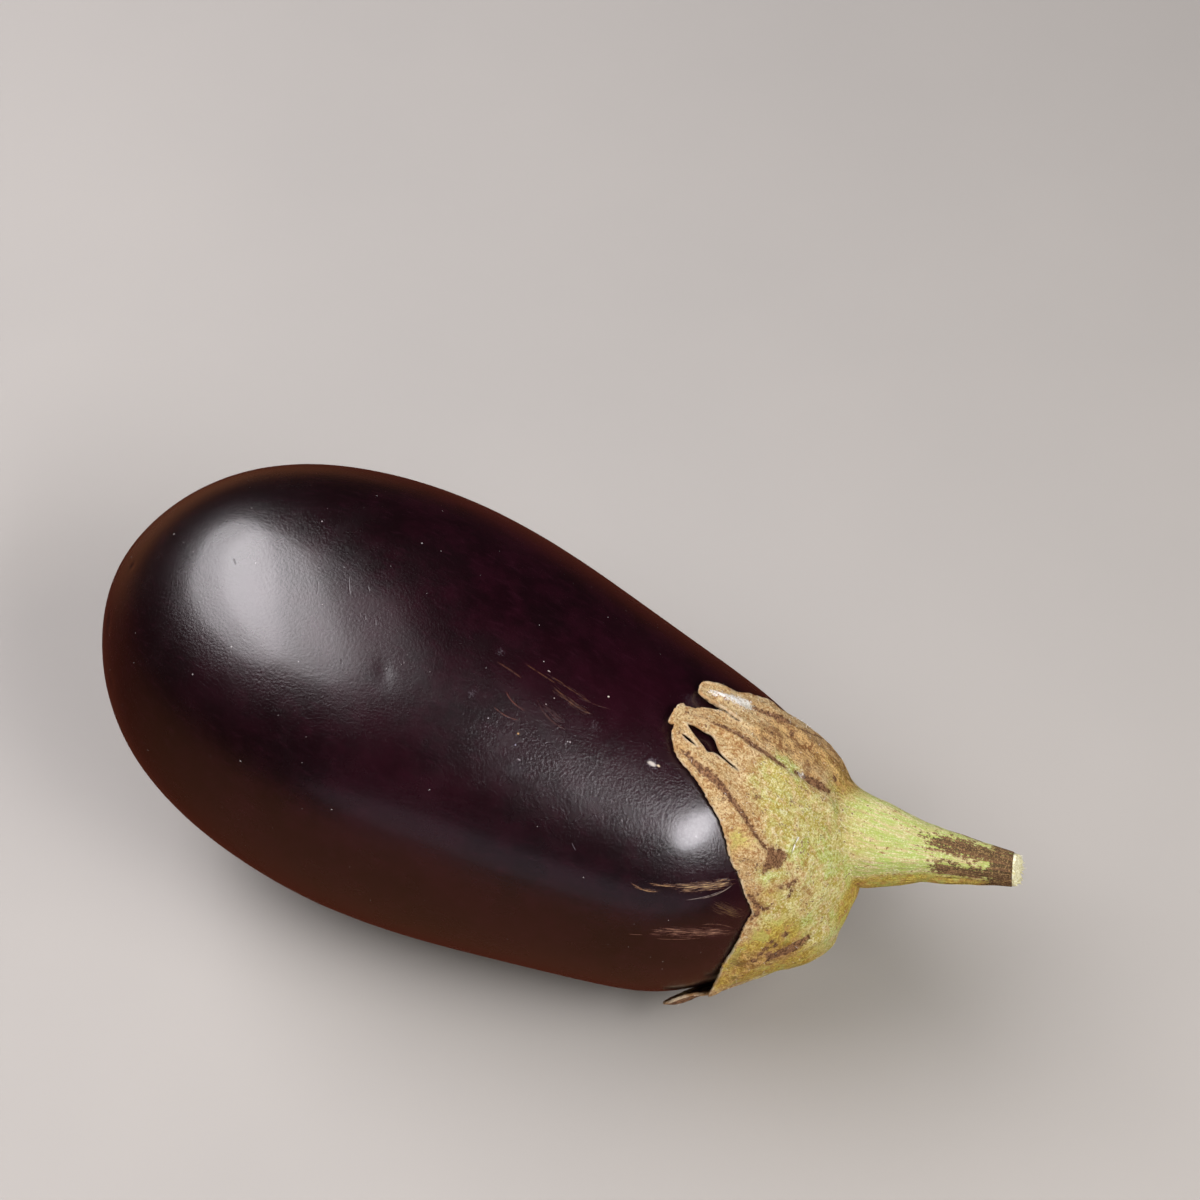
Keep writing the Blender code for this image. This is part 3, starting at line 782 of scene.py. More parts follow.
def specks(graph, body, cell, radius, share):
    """Tiny round specks, one in a share of the cells."""
    cells = graph.node("ShaderNodeTexVoronoi", {"Vector": body, "Scale": 1.0 / cell}).outputs
    chance = graph.node("ShaderNodeSeparateColor", {"Color": cells["Color"]}).outputs
    size = graph.times(graph.add(chance["Green"], 0.5), radius / cell)
    return graph.times(graph.math("LESS_THAN", cells["Distance"], size),
                       graph.math("LESS_THAN", chance["Red"], share))


def skin_material(name, reach):
    """The skin, with the marks that start in a range of distances from the stem pole."""
    graph = new_graph(name)
    add, times, fade, noise_in = graph.add, graph.times, graph.fade, graph.noise
    place = graph.values("skin_map", "Vector")
    body = graph.object_mm()
    depth = fade(noise_in(body, 34.0, 3.0, 0.55), 0.36, 0.66)
    mottle = fade(noise_in(body, 6.0, 4.0, 0.6), 0.38, 0.70)
    far_end = fade(add(graph.split(place)["X"], (depth, -22.0)), 112.0, 162.0)
    grain = fade(noise_in(graph.stretch(place, 0.30, 1.0, 1.0), 1.3, 4.0, 0.65), 0.50, 0.85)
    colour = graph.mix(depth, (0.0060, 0.0009, 0.0020), (0.0125, 0.0014, 0.0038))
    colour = graph.layers(colour, (mottle, 0.5, (0.0190, 0.0022, 0.0064)),
                          (far_end, 0.80, (0.0036, 0.0006, 0.0009)),
                          (grain, 0.35, (0.036, 0.0075, 0.016)))
    colour, dull = draw_strokes(graph, place, colour, reach)
    colour = draw_spots(graph, place, colour, reach)
    dust = add(specks(graph, body, 4.6, 0.12, 0.75), specks(graph, body, 2.3, 0.07, 0.40))
    colour = graph.layers(colour, (dust, 0.65, (0.50, 0.47, 0.47)))

    smears = fade(noise_in(body, 11.0, 4.0, 0.6), 0.35, 0.72)
    nicks = draw_nicks(graph, place, reach)
    roughness = add(0.235, (smears, 0.06), (dull, 0.22), (dust, 0.3), (nicks, 0.12))
    pores = noise_in(graph.stretch(body, 0.8, 1.0, 1.0), 0.52, 3.0, 0.62)
    creases = noise_in(graph.stretch(body, 0.45, 1.0, 1.0), 3.4, 3.0, 0.55)
    normal = None
    for height, distance, strength in ((pores, 0.00015, 0.60), (creases, 0.00030, 0.13),
                                       (add(dust, dull), 0.00005, 0.5),
                                       (times(nicks, -1.0), 0.00010, 0.8)):
        normal = graph.bump(height, distance, strength, normal)
    return graph.shade(Base_Color=colour, Roughness=roughness, Normal=normal, IOR=1.52,
                       Coat_Weight=0.65, Coat_Roughness=0.165)


def calyx_material():
    """Dry tan lobes, yellow-green towards the stem, with dark ribs, patches and a brown end."""
    graph = new_graph("dried_calyx")
    add, times, fade = graph.add, graph.times, graph.fade
    mix, layers = graph.mix, graph.layers
    flow = graph.values("flow", "Vector")
    green, olive, warm, dark, edge, fuzz, bark = (graph.values(name) for name in (
        "green", "olive", "warm", "dark_mm", "edge_mm", "fuzz_mm", "bark"))
    body = graph.object_mm()
    # Noise along the grain: how far stretched along and across it, detail and roughness
    fibres, streaks, lines, scraps = (
        graph.noise(graph.stretch(flow, along, across, across), 1.0, detail, roughness)
        for along, across, detail, roughness in (
            (0.14, 30.0, 4.0, 0.62), (0.16, 15.0, 5.0, 0.70), (0.34, 26.0, 3.0, 0.70),
            (0.8, 22.0, 3.0, 0.7)))
    # Noise by place: size in mm, detail and roughness
    grains, crumbs, clouds, blotches, patches, regions, ripples = (
        graph.noise(body, *settings) for settings in (
            (0.42, 3.0, 0.72), (0.95, 4.0, 0.68), (3.6, 4.0, 0.6), (2.3, 4.0, 0.66),
            (9.0, 3.0, 0.55), (6.0, 2.0), (1.3, 3.0)))

    stem = fade(graph.split(flow)["X"], 15.0, 3.0)
    # The speckle's pale and dark grains are partly the calyx's own mottling and partly painted light
    # and shade: their strong contrast stands in for side light on the fine relief
    on_lobes = add((grains, 0.55), (crumbs, 0.45))
    on_stem = add((lines, 0.45), (grains, 0.55))
    speckle = add(on_lobes, (stem, graph.math("SUBTRACT", on_stem, on_lobes)))
    pale_grain = fade(speckle, 0.500, 0.580)
    dark_grain = fade(speckle, 0.490, 0.420)

    tan = layers(
        mix(fade(clouds, 0.40, 0.62), (0.49, 0.31, 0.125), (0.64, 0.47, 0.24)),
        (fade(blotches, 0.52, 0.62), 0.45, (0.60, 0.36, 0.15)),
        (dark_grain, 0.85, (0.31, 0.13, 0.042)),
        (pale_grain, 0.70, (0.84, 0.70, 0.43)))
    leaf_stem = layers(
        mix(fade(streaks, 0.45, 0.57), (0.45, 0.59, 0.14), (0.69, 0.59, 0.31)),
        (fade(speckle, 0.50, 0.60), 0.65, (0.88, 0.84, 0.58)),
        (fade(add((streaks, 0.45), (crumbs, 0.55)), 0.555, 0.595), 0.75, (0.44, 0.22, 0.075)))
    leaf = layers(
        mix(fade(clouds, 0.42, 0.60), (0.51, 0.41, 0.08), (0.67, 0.60, 0.22)),
        (fade(patches, 0.47, 0.60), 0.65, (0.46, 0.60, 0.13)),
        (fade(fibres, 0.50, 0.66), 0.40, (0.55, 0.64, 0.26)),
        (fade(blotches, 0.50, 0.60), 0.60, (0.66, 0.44, 0.21)),
        (dark_grain, 0.65, (0.31, 0.20, 0.034)),
        (pale_grain, 0.62, (0.93, 0.91, 0.64)),
        (stem, 0.8, leaf_stem))
    moss = layers(
        mix(fade(speckle, 0.44, 0.56), (0.34, 0.19, 0.018), (0.66, 0.50, 0.075)),
        (fade(blotches, 0.50, 0.60), 0.70, (0.48, 0.24, 0.06)),
        (fade(clouds, 0.52, 0.62), 0.55, (0.50, 0.56, 0.12)))
    rust = mix(fade(add((blotches, 0.5), (speckle, 0.5)), 0.45, 0.56), (0.20, 0.07, 0.018),
               (0.70, 0.45, 0.18))
    umber = mix(fade(speckle, 0.43, 0.57), (0.085, 0.034, 0.018), (0.33, 0.17, 0.085))
    rim_tint = mix(fade(clouds, 0.42, 0.58), (0.58, 0.33, 0.145), (0.82, 0.70, 0.50))
    bark_grain = add((streaks, 0.35), (fibres, 0.30), (speckle, 0.35))
    bark_tint = layers(
        mix(fade(bark_grain, 0.45, 0.56), (0.052, 0.019, 0.012), (0.21, 0.10, 0.048)),
        (fade(grains, 0.52, 0.60), 0.50, (0.50, 0.34, 0.125)))

    greenness = add(green, (patches, 0.6), (crumbs, 0.45), -0.525)
    mossiness = add(olive, (clouds, 0.7), (crumbs, 0.5), -0.60)
    rustiness = add(warm, (clouds, 0.9), (crumbs, 0.7), -0.80)
    flecks = times(fade(scraps, 0.62, 0.68), fade(regions, 0.44, 0.60))
    ragged_dark = add(dark, (add(crumbs, (grains, 0.6), -0.80), 1.5))
    rim = fade(add(edge, (ripples, 0.8)), 0.90, 0.35)
    down = times(fade(add(fuzz, (add(crumbs, -0.5), 4.0)), 0.60, -0.40),
                 fade(grains, 0.38, 0.48))
    bark_level = add(bark, (streaks, 2.0), (crumbs, 2.2), (speckle, 1.4), -2.80)
    colour = layers(
        mix(fade(greenness, 0.25, 0.62), tan, leaf),
        (fade(mossiness, 0.25, 0.65), 0.85, moss),
        (fade(rustiness, 0.25, 0.75), 0.80, rust),
        (flecks, 0.65, (0.20, 0.085, 0.026)),
        # Brown and umber over the dark lines and patches, which on lobe E's tip is partly painted
        # shade
        (fade(ragged_dark, 0.9, -0.1), 0.45, (0.36, 0.18, 0.065)),
        (fade(ragged_dark, 0.20, -0.20), 0.93, umber),
        (rim, 0.60, rim_tint),
        (down, 0.95, (0.93, 0.93, 0.91)),
        (fade(bark_level, 0.38, 0.54), 0.95, bark_tint))

    relief = add((fibres, 0.50), (grains, 0.60), (crumbs, 0.90))
    return graph.shade(Base_Color=colour, Roughness=add(0.58, (grains, 0.25)),
                       Normal=graph.bump(relief, 0.00090, 0.90), IOR=1.34)


def cut_material():
    """Pale, moist pith at the cut."""
    graph = new_graph("pale_pith")
    strands = graph.noise(graph.stretch(graph.object_mm(), 0.5, 2.6, 2.6), 1.0, 4.0, 0.6)
    colour = graph.mix(graph.fade(strands, 0.38, 0.60), (0.60, 0.55, 0.27), (0.88, 0.87, 0.64))
    return graph.shade(Base_Color=colour, Roughness=0.55,
                       Normal=graph.bump(strands, 0.0003, 0.6))


def hair_material():
    graph = new_graph("pale_hairs")
    strands = graph.noise(graph.object_mm(), 1.2, 2.0)
    colour = graph.mix(graph.fade(strands, 0.3, 0.7), (0.72, 0.66, 0.52), (0.90, 0.88, 0.82))
    return graph.shade(Base_Color=colour, Roughness=0.6)


def dent_depth(arc, angle, start, end, half_width, depth):
    """Depth in mm of one furrow at places on the skin, given in mm and radians."""
    centre = (np.array(start) + np.array(end)) / 2
    across = fruit_radius(place_at(centre[0] * MM)) / MM
    run = np.array([end[0] - start[0], radians(end[1] - start[1]) * across])
    half = np.linalg.norm(run) / 2
    x = arc - centre[0]
    y = turn_from(radians(centre[1]), angle) * across
    along = (x * run[0] + y * run[1]) / (2 * half * half)
    aside = (y * run[0] - x * run[1]) / (2 * half * half_width)
    return depth * np.exp(-(along ** 2 + aside ** 2))


def skin_relief(u, angle):
    """How far each point of the skin is in or out: soft waves, dents and the blossom scar."""
    points = fruit_points(u, angle)
    height = np.zeros(len(u))
    for seed, (size, amount) in enumerate(SKIN_WAVES):
        height += amount * noise_at(points, size, 3.0 * seed)
    arc = arc_at(u)
    for dent in SKIN_DENTS:
        height -= dent_depth(arc / MM, angle, *dent) * MM
    return height - BLOSSOM_SCAR_DEPTH * bell(ARCS[0] - arc, BLOSSOM_SCAR_RADIUS)


def make_skin(materials):
    """The skin's mesh, with one material for each range of distances in SKIN_PARTS."""
    places = -np.cos(pi * np.arange(1, SKIN_RINGS) / SKIN_RINGS)
    step = 2 * pi / SKIN_SIDES
    turns = SKIN_SEAM_ANGLE + step * np.arange(SKIN_SIDES + 1)
    u = np.append(np.repeat(places, SKIN_SIDES), (-1.0, 1.0))
    angle = np.append(np.tile(turns[:-1], len(places)), (0.0, 0.0))
    points = to_world(fruit_points(u, angle, skin_relief(u, angle)))
    points[:, 2] = np.maximum(points[:, 2], 0.0)

    faces = []
    corners = []
    arcs = arc_at(places) / MM
    blossom = len(points) - 2
    stem_pole = len(points) - 1
    for j in range(SKIN_SIDES):
        k = (j + 1) % SKIN_SIDES
        left, right = turns[j:j + 2] * SKIN_MAP_RADIUS
        for i in range(len(places) - 1):
            row = i * SKIN_SIDES
            above = row + SKIN_SIDES
            faces.append((row + k, above + k, above + j, row + j))
            corners += [(arcs[i], right, 0.0), (arcs[i + 1], right, 0.0),
                        (arcs[i + 1], left, 0.0), (arcs[i], left, 0.0)]
        last = (len(places) - 1) * SKIN_SIDES
        faces += [(k, j, blossom), (last + j, last + k, stem_pole)]
        corners += [(arcs[0], right, 0.0), (arcs[0], left, 0.0), (ARCS[0] / MM, left, 0.0),
                    (arcs[-1], left, 0.0), (arcs[-1], right, 0.0), (0.0, left, 0.0)]
    mesh = new_mesh("fruit_skin", points, faces, *materials)
    write_values(mesh, "skin_map", "FLOAT_VECTOR", corners, "CORNER")
    starts = [reach[0] for _, reach in SKIN_PARTS[1:]]
    for polygon in mesh.polygons:
        arc = corners[polygon.loop_start][0]
        polygon.material_index = sum(arc >= start for start in starts)
    add_piece(mesh, "skin", "fruit")


def smooth_loop(pairs, step, ragged=0.0):
    """Closed curve through the points, with a vertex about every step mm on the fruit."""
    points = plan_points(pairs)
    loop = []
    for i in range(len(points)):
        before, start, end, after = (points[(i + n) % len(points)] for n in (-1, 0, 1, 2))
        ends = over_fruit(np.array([start, end]))
        pieces = max(1, ceil(np.linalg.norm(ends[1] - ends[0]) / MM / step))
        for n in range(pieces):
            t = n / pieces
            loop.append(0.5 * (2 * start + (end - before) * t
                               + (2 * before - 5 * start + 4 * end - after) * t ** 2
                               + (3 * start - before - 3 * end + after) * t ** 3))
    loop = np.array(loop)
    if ragged:
        ahead = np.roll(loop, -1, axis=0) - np.roll(loop, 1, axis=0)
        sideways = np.stack([ahead[:, 1], -ahead[:, 0]], axis=-1)
        sideways /= np.linalg.norm(sideways, axis=1)[:, None]
        seats = over_fruit(loop) / MM
        wave = noise_at(seats, RAGGED_SIZE * 2.2) + 0.7 * noise_at(seats, RAGGED_SIZE, 5.0)
        loop += sideways * (ragged * 1.6 * wave)[:, None]
    return loop


def inside(points, loop):
    """Which points of the plan are inside a closed loop."""
    hits = np.zeros(len(points), int)
    for (ax, ay), (bx, by) in zip(loop, np.roll(loop, 1, axis=0)):
        if ay == by:
            continue
        spans = (ay > points[:, 1]) != (by > points[:, 1])
        cross = ax + (points[:, 1] - ay) * (bx - ax) / (by - ay)
        hits += spans & (points[:, 0] < cross)
    return hits % 2 == 1


def line_rows():
    """Points of the plan in three rows along each dark line, so that its groove is crisp."""
    rows = []
    for line in DARK_LINES:
        points = plan_points([point[:2] for point in line])
        for first, second in zip(points, points[1:]):
            length = np.linalg.norm(second - first)
            side = np.array([first[1] - second[1], second[0] - first[0]]) / length
            for t in np.arange(0.0, 1.0, LINE_POINT_STEP / length):
                middle = first + (second - first) * t
                rows += [middle - side * LINE_SIDE, middle, middle + side * LINE_SIDE]
    return np.array(rows)


def well_inside(points, loops):
    """The points of the plan that are in the calyx and clear of all the loops."""
    outline, holes = loops[0], loops[1:-1]
    keep = inside(points, outline)
    for hole in holes:
        keep &= ~inside(points, hole)
    points = points[keep]
    tree = tree_of(over_fruit(np.concatenate(loops)))
    away, _ = nearest(tree, over_fruit(points))
    return points[away > GRID_CLEARANCE * MM]


def plan_grid(loops):
    """Points that fill the calyx: rows along the dark lines and rings round the stem pole."""
    rows = well_inside(line_rows(), loops)
    points = [(0.0, 0.0)]
    for ring, arc in enumerate(np.arange(GRID_STEP, GRID_REACH, GRID_STEP * 0.9)):
        around = 2 * pi * fruit_radius(place_at(arc * MM)) / MM
        count = max(6, ceil(around / GRID_STEP))
        angle = 2 * pi * (np.arange(count) + 0.5 * (ring % 2)) / count
        points.extend(zip(arc * np.cos(angle), arc * np.sin(angle)))
    points = well_inside(np.array(points), loops)
    away, _ = nearest(tree_of(over_fruit(rows)), over_fruit(points))
    return np.concatenate((rows, points[away > GRID_CLEARANCE * MM]))


def line_samples(lines, spacing=0.25):
    """Points over the fruit along lines, with their widths where the lines give them."""
    samples = []
    for line in lines:
        for first, second in zip(line, line[1:]):
            first, second = np.array(first), np.array(second)
            ends = plan_points([first[:2], second[:2]])
            count = max(2, ceil(np.linalg.norm(ends[1] - ends[0]) / spacing))
            samples.append(first + (second - first) * np.arange(count)[:, None] / count)
    samples = np.concatenate(samples)
    widths = samples[:, 2] if samples.shape[1] > 2 else np.zeros(len(samples))
    return over_fruit(plan_points(samples[:, :2])), widths


def line_distance(seats, lines):
    """Distance in mm from places over the fruit to the edge of the nearest line."""
    points, widths = line_samples(lines)
    away, index = nearest(tree_of(points), seats)
    return away / MM - widths[index]


def area_strength(seats, areas):
    """How strongly places over the fruit lie in one of the areas, from 0 to 1."""
    strength = np.zeros(len(seats))
    for *place, radius, most in areas:
        strength = np.maximum(strength, most * bell(distance_to(seats, place) / MM, radius))
    return strength


def fold_height(arc, angle):
    """The raised lip of lobe A along its fold over lobe B."""
    fold = np.array(FOLD[::-1])
    line_angle = np.interp(arc, fold[:, 0], fold[:, 1])
    inward = np.radians(line_angle - angle) * fruit_radius(place_at(arc * MM))
    lip = np.where(inward > 0, np.exp(-inward / FOLD_WIDTH), 0.0)
    return FOLD_HEIGHT * lip * ramp(arc, *FOLD_STARTS) * ramp(arc, *FOLD_ENDS)


def fibre_waves(length, turn, broad=1.0):
    """Broad and fine waves that run outward from the stem's base, for lengths in mm."""
    grain = np.stack([length / FIBRE_LENGTH, np.cos(turn) * FIBRES_ROUND,
                      np.sin(turn) * FIBRES_ROUND], axis=-1)
    return broad * noise_at(grain, 1.0) + 0.6 * noise_at(grain * FINE_FIBRES, 1.0, 2.0)


def calyx_thickness(seats, arc, angle, to_edge, from_base, turn, line_dark):
    """Thickness over the fruit, with ribs, swellings, the fold, grooves and grain."""
    to_rib, _ = nearest(tree_of(line_samples(RIBS)[0]), seats)
    to_crease, _ = nearest(tree_of(line_samples((DARK_LINES[CREASE_LINE],))[0]), seats)
    fade = ramp(to_edge, 0.0, RELIEF_FROM_EDGE)
    thickness = CALYX_EDGE + (CALYX_MIDDLE - CALYX_EDGE) * ramp(to_edge, 0.0,
                                                                CALYX_THICKEN_OVER)
    thickness += RIB_HEIGHT * bell(to_rib, RIB_WIDTH) * ramp(to_edge, 0.0, RIBS_FROM_EDGE)
    for place, height in SWELLINGS:
        thickness += height * bell(distance_to(seats, place), SWELLING_WIDTH)
    thickness += CAP_MOUND * bell(from_base * MM, CAP_MOUND_WIDTH)
    thickness += fold_height(arc, angle)
    thickness -= CREASE_DEPTH * bell(to_crease, CREASE_WIDTH) * fade
    groove = np.exp(-np.clip(line_dark, 0.0, None) ** 2 / GROOVE_SPREAD)
    bank = np.exp(-(line_dark - BANK_PLACE) ** 2 / GROOVE_SPREAD)
    thickness += (BANK_HEIGHT * bank - DARK_LINE_SINK * groove) * fade
    thickness += FIBRE_HEIGHT * fibre_waves(from_base, turn)
    thickness += LUMP_HEIGHT * noise_at(seats, LUMP_SIZE, 4.0) * fade
    thickness += CRUMPLE_HEIGHT * noise_at(seats, CRUMPLE_SIZE, 7.0) * fade
    return np.maximum(thickness, CALYX_THINNEST)


def calyx_heights(plan, edge_tree):
    """Lower and upper height over the fruit, and the values that the material reads."""
    seats = over_fruit(plan)
    arc = np.hypot(plan[:, 0], plan[:, 1])
    angle = np.degrees(np.arctan2(plan[:, 1], plan[:, 0])) % 360.0
    to_edge, _ = nearest(edge_tree, seats)
    away = seats - np.array(STEM_BASE)
    from_base = np.linalg.norm(away, axis=1) / MM
    turn = np.arctan2(away[:, 2], away[:, 1])
    line_dark = line_distance(seats, DARK_LINES)
    dark = line_dark.copy()
    # The patches join the dark lines; those on lobe E's tip are partly painted shade
    for *place, radius in DARK_AND_SHADE_PATCHES:
        dark = np.minimum(dark, distance_to(seats, place) / MM - radius)

    curl = TIP_CURL * np.exp(-to_edge / TIP_CURL_WIDTH)
    lower = CALYX_GAP + curl * ramp(arc * MM, TIP_CURL_FROM, TIP_CURL_TO)
    lower += (EDGE_WAVE * ramp(noise_at(seats, EDGE_WAVE_SIZE, 9.0), 0.0, 0.5)
              * np.exp(-to_edge / EDGE_WAVE_REACH))
    for place, lift in LIFTED_TIPS:
        lower += lift * bell(distance_to(seats, place), LIFTED_TIP_WIDTH)
    thickness = calyx_thickness(seats, arc, angle, to_edge, from_base, turn, line_dark)
    return lower, lower + thickness, {
        "length": from_base, "turn": turn, "bark": np.zeros(len(plan)),
        "dark_mm": np.minimum(dark, FAR_AWAY), "edge_mm": to_edge / MM,
        "fuzz_mm": np.minimum(line_distance(seats, FUZZ_LINES), FAR_AWAY),
        "warm": area_strength(seats, WARM_AREAS), "green": area_strength(seats, GREEN_AREAS),
        "olive": area_strength(seats, OLIVE_AREAS),
    }


def stem_axes():
    axis = (STEM_END - STEM_BASE).normalized()
    across = (Vector((0.0, 1.0, 0.0)) - axis * axis.y).normalized()
    upward = axis.cross(across)
    if upward.z < 0:
        upward.negate()
    return np.array(axis), np.array(across), np.array(upward)


def stem_section(t, turns, scale=1.0, rise=0.0, long_side=0.0):
    """Ring of the stem at t, 0 at the calyx and 1 at the cut end, higher on its long side."""
    axis, across, upward = stem_axes()
    centre = np.array(STEM_BASE + (STEM_END - STEM_BASE) * t)
    radius = scale * np.interp(t, [r[0] for r in STEM_RADII], [r[1] for r in STEM_RADII])
    reach = radius * (1 + STEM_RIB_DEPTH * np.cos(STEM_RIBS * turns))
    ring = (centre + (reach * np.cos(turns))[:, None] * across
            + (reach * np.sin(turns))[:, None] * upward)
    return ring + (rise * np.cos(turns - long_side))[:, None] * axis


def stem_bark(t, turns):
    """How far the brown of the drying stem has come, at t along it."""
    level = np.full(len(turns), float(ramp(t, *BARK_RING)))
    for middle, half, start, full in BARK_BANDS:
        band = bell(turn_from(radians(middle), turns), radians(half)) * ramp(t, start, full)
        level = np.maximum(level, band)
    return level


def lay_out(loops):
    """Triangles between the loops on the plan, and the places of the last loop's points."""
    edges = []
    start = 0
    for loop in loops:
        edges += [(start + i, start + (i + 1) % len(loop)) for i in range(len(loop))]
        start += len(loop)
    coords = np.concatenate(loops + (plan_grid(loops),))
    plan, _, triangles, origins, _, _ = delaunay_2d_cdt(
        [Vector(point) for point in coords], edges, [], 0, MERGE_DISTANCE)
    new_index = {old: new for new, olds in enumerate(origins) for old in olds}
    last_ring = [new_index[old] for old in range(start - len(loops[-1]), start)]
    return (np.array([tuple(point) for point in plan]),
            np.array([list(triangle) for triangle in triangles]), last_ring)


def sheet_faces(triangles, in_collar, count):
    """Faces of the calyx: its upper side but for the stem's foot, its lower side and rim."""
    faces = []
    border = {}
    for triangle, in_stem in zip(triangles, in_collar):
        a, b, c = (int(i) for i in triangle)
        faces.append((count + c, count + b, count + a))
        if not in_stem:
            faces.append((a, b, c))
        for pair in ((a, b), (b, c), (c, a)):
            if pair[::-1] in border:
                del border[pair[::-1]]
            else:
                border[pair] = True
    faces.extend((count + first, count + second, second, first) for first, second in border)
    return faces


def make_calyx(material):
    """The calyx with the stem's skin; gives its upper side for the hairs that stand on it."""
    pairs = LOBE_A + LOBES_B_AND_C + LOBE_D + LOBE_E + LOBE_F + LOBE_G
    outline = smooth_loop(pairs, OUTLINE_STEP, RAGGED_EDGE)
    slit = smooth_loop(SLIT, HOLE_STEP)
    crack = smooth_loop(CRACK, HOLE_STEP)
    turns = 2 * pi * np.arange(STEM_SIDES) / STEM_SIDES
    middle = plan_points([COLLAR_PLACE])[0]
    collar = middle + COLLAR_RADIUS * circle(turns)
    plan, triangles, collar_ring = lay_out((outline, slit, crack, collar))

    edge_tree = tree_of(over_fruit(np.concatenate((outline, slit, crack))))
    lower, upper, values = calyx_heights(plan, edge_tree)
    high_points = over_fruit(plan, upper)
    points = np.concatenate((high_points, over_fruit(plan, lower)))
    centres = plan[triangles].mean(axis=1)
    kept = inside(centres, outline) & ~inside(centres, slit) & ~inside(centres, crack)
    in_collar = inside(centres, collar)
    faces = sheet_faces(triangles[kept], in_collar[kept], len(plan))

    level = middle + COLLAR_LEVEL * COLLAR_RADIUS * circle(turns)
    level = over_fruit(level, calyx_heights(level, edge_tree)[1])
    rings, ring_values = raise_stem(points[collar_ring], level, turns, {
        name: numbers[collar_ring] for name, numbers in values.items()})
    near = collar_ring
    for n in range(len(rings)):
        first = len(points) + n * STEM_SIDES
        far = range(first, first + STEM_SIDES)
        faces += bridge(near, far)
        near = far
    faces.append(tuple(near))
    points = np.concatenate([points] + rings)
    values = {name: np.concatenate((numbers, numbers, ring_values[name]))
              for name, numbers in values.items()}

    mesh = new_mesh("calyx_and_stem_fine", to_world(points), faces, material)
    length = values.pop("length")
    turn = values.pop("turn")
    write_values(mesh, "flow", "FLOAT_VECTOR", np.column_stack((length, circle(turn))))
    for name, numbers in values.items():
        write_values(mesh, name, "FLOAT", numbers)
    bm = bmesh.new()
    bm.from_mesh(mesh)
    loose = [vertex for vertex in bm.verts if not vertex.link_faces]
    bmesh.ops.delete(bm, geom=loose, context="VERTS")
    bmesh.ops.recalc_face_normals(bm, faces=bm.faces[:])
    bm.to_mesh(mesh)
    bm.free()
    mesh.shade_smooth()
    add_piece(mesh, "dried_green", "calyx_and_stem")
    return high_points, triangles[kept & ~in_collar], edge_tree


def raise_stem(base, level, turns, first):
    """Rings from the calyx up the stem to where its skin ends, with the material's values."""
    rising = stem_section(COLLAR_RISE, turns)
    landing = stem_section(COLLAR_TOP, turns)
    rings = []
    for n in range(1, COLLAR_RINGS + 1):
        t = n / COLLAR_RINGS
        rings.append((COLLAR_TOP * t, (1 - t) ** 3 * base + 3 * t * (1 - t) ** 2 * level
                      + 3 * t * t * (1 - t) * rising + t ** 3 * landing))
    for n in range(1, STEM_RINGS + 1):
        t = COLLAR_TOP + (BARK_END - COLLAR_TOP) * n / STEM_RINGS
        rise = BARK_SLANT * ramp(t, BARK_SLANT_START, BARK_END)
        rings.append((t, stem_section(t, turns, 1.0, rise, BARK_LONG_SIDE)))
    _, across, upward = stem_axes()
    outward = np.cos(turns)[:, None] * across + np.sin(turns)[:, None] * upward
    olive = bell(turn_from(radians(STEM_OLIVE[0]), turns), radians(STEM_OLIVE[1]))
    on_stem = {"green": 1.0, "warm": 0.0, "olive": olive,
               "dark_mm": FAR_AWAY, "edge_mm": FAR_AWAY, "fuzz_mm": FAR_AWAY}
    values = {name: [] for name in first}
    points = []
    length = first["length"]
    before = base
    for n, (t, ring) in enumerate(rings, start=1):
        length = length - np.linalg.norm(ring - before, axis=1) / MM
        before = ring
        ease = min(1.0, n / COLLAR_RINGS)
        waves = fibre_waves(length, turns, 0.8) + noise_at(ring, STEM_LUMP_SIZE, 8.0)
        points.append(ring + outward * (STEM_ROUGHNESS * waves * ease)[:, None])
        values["length"].append(length)
        values["turn"].append(first["turn"])
        values["bark"].append(stem_bark(t, turns))
        for name, final in on_stem.items():
            values[name].append(first[name] * (1 - ease) + final * ease)
    return points, {name: np.concatenate(numbers) for name, numbers in values.items()}


BLADE_FACES = ((0, 2, 1), (0, 1, 3), (1, 2, 3), (2, 0, 3))


def add_blade(points, faces, root, end, width, side):
    """Adds a thin three-sided spike from root to end."""
    along = end - root
    along = along / np.linalg.norm(along)
    first = side - along * (side @ along)
    first = first / np.linalg.norm(first)
    second = np.cross(along, first)
    start = len(points)
    points.extend(root + width * (cos(a) * first + sin(a) * second)
                  for a in (0.0, 2 * pi / 3, 4 * pi / 3))
    points.append(end)
    faces.extend(tuple(start + i for i in face) for face in BLADE_FACES)


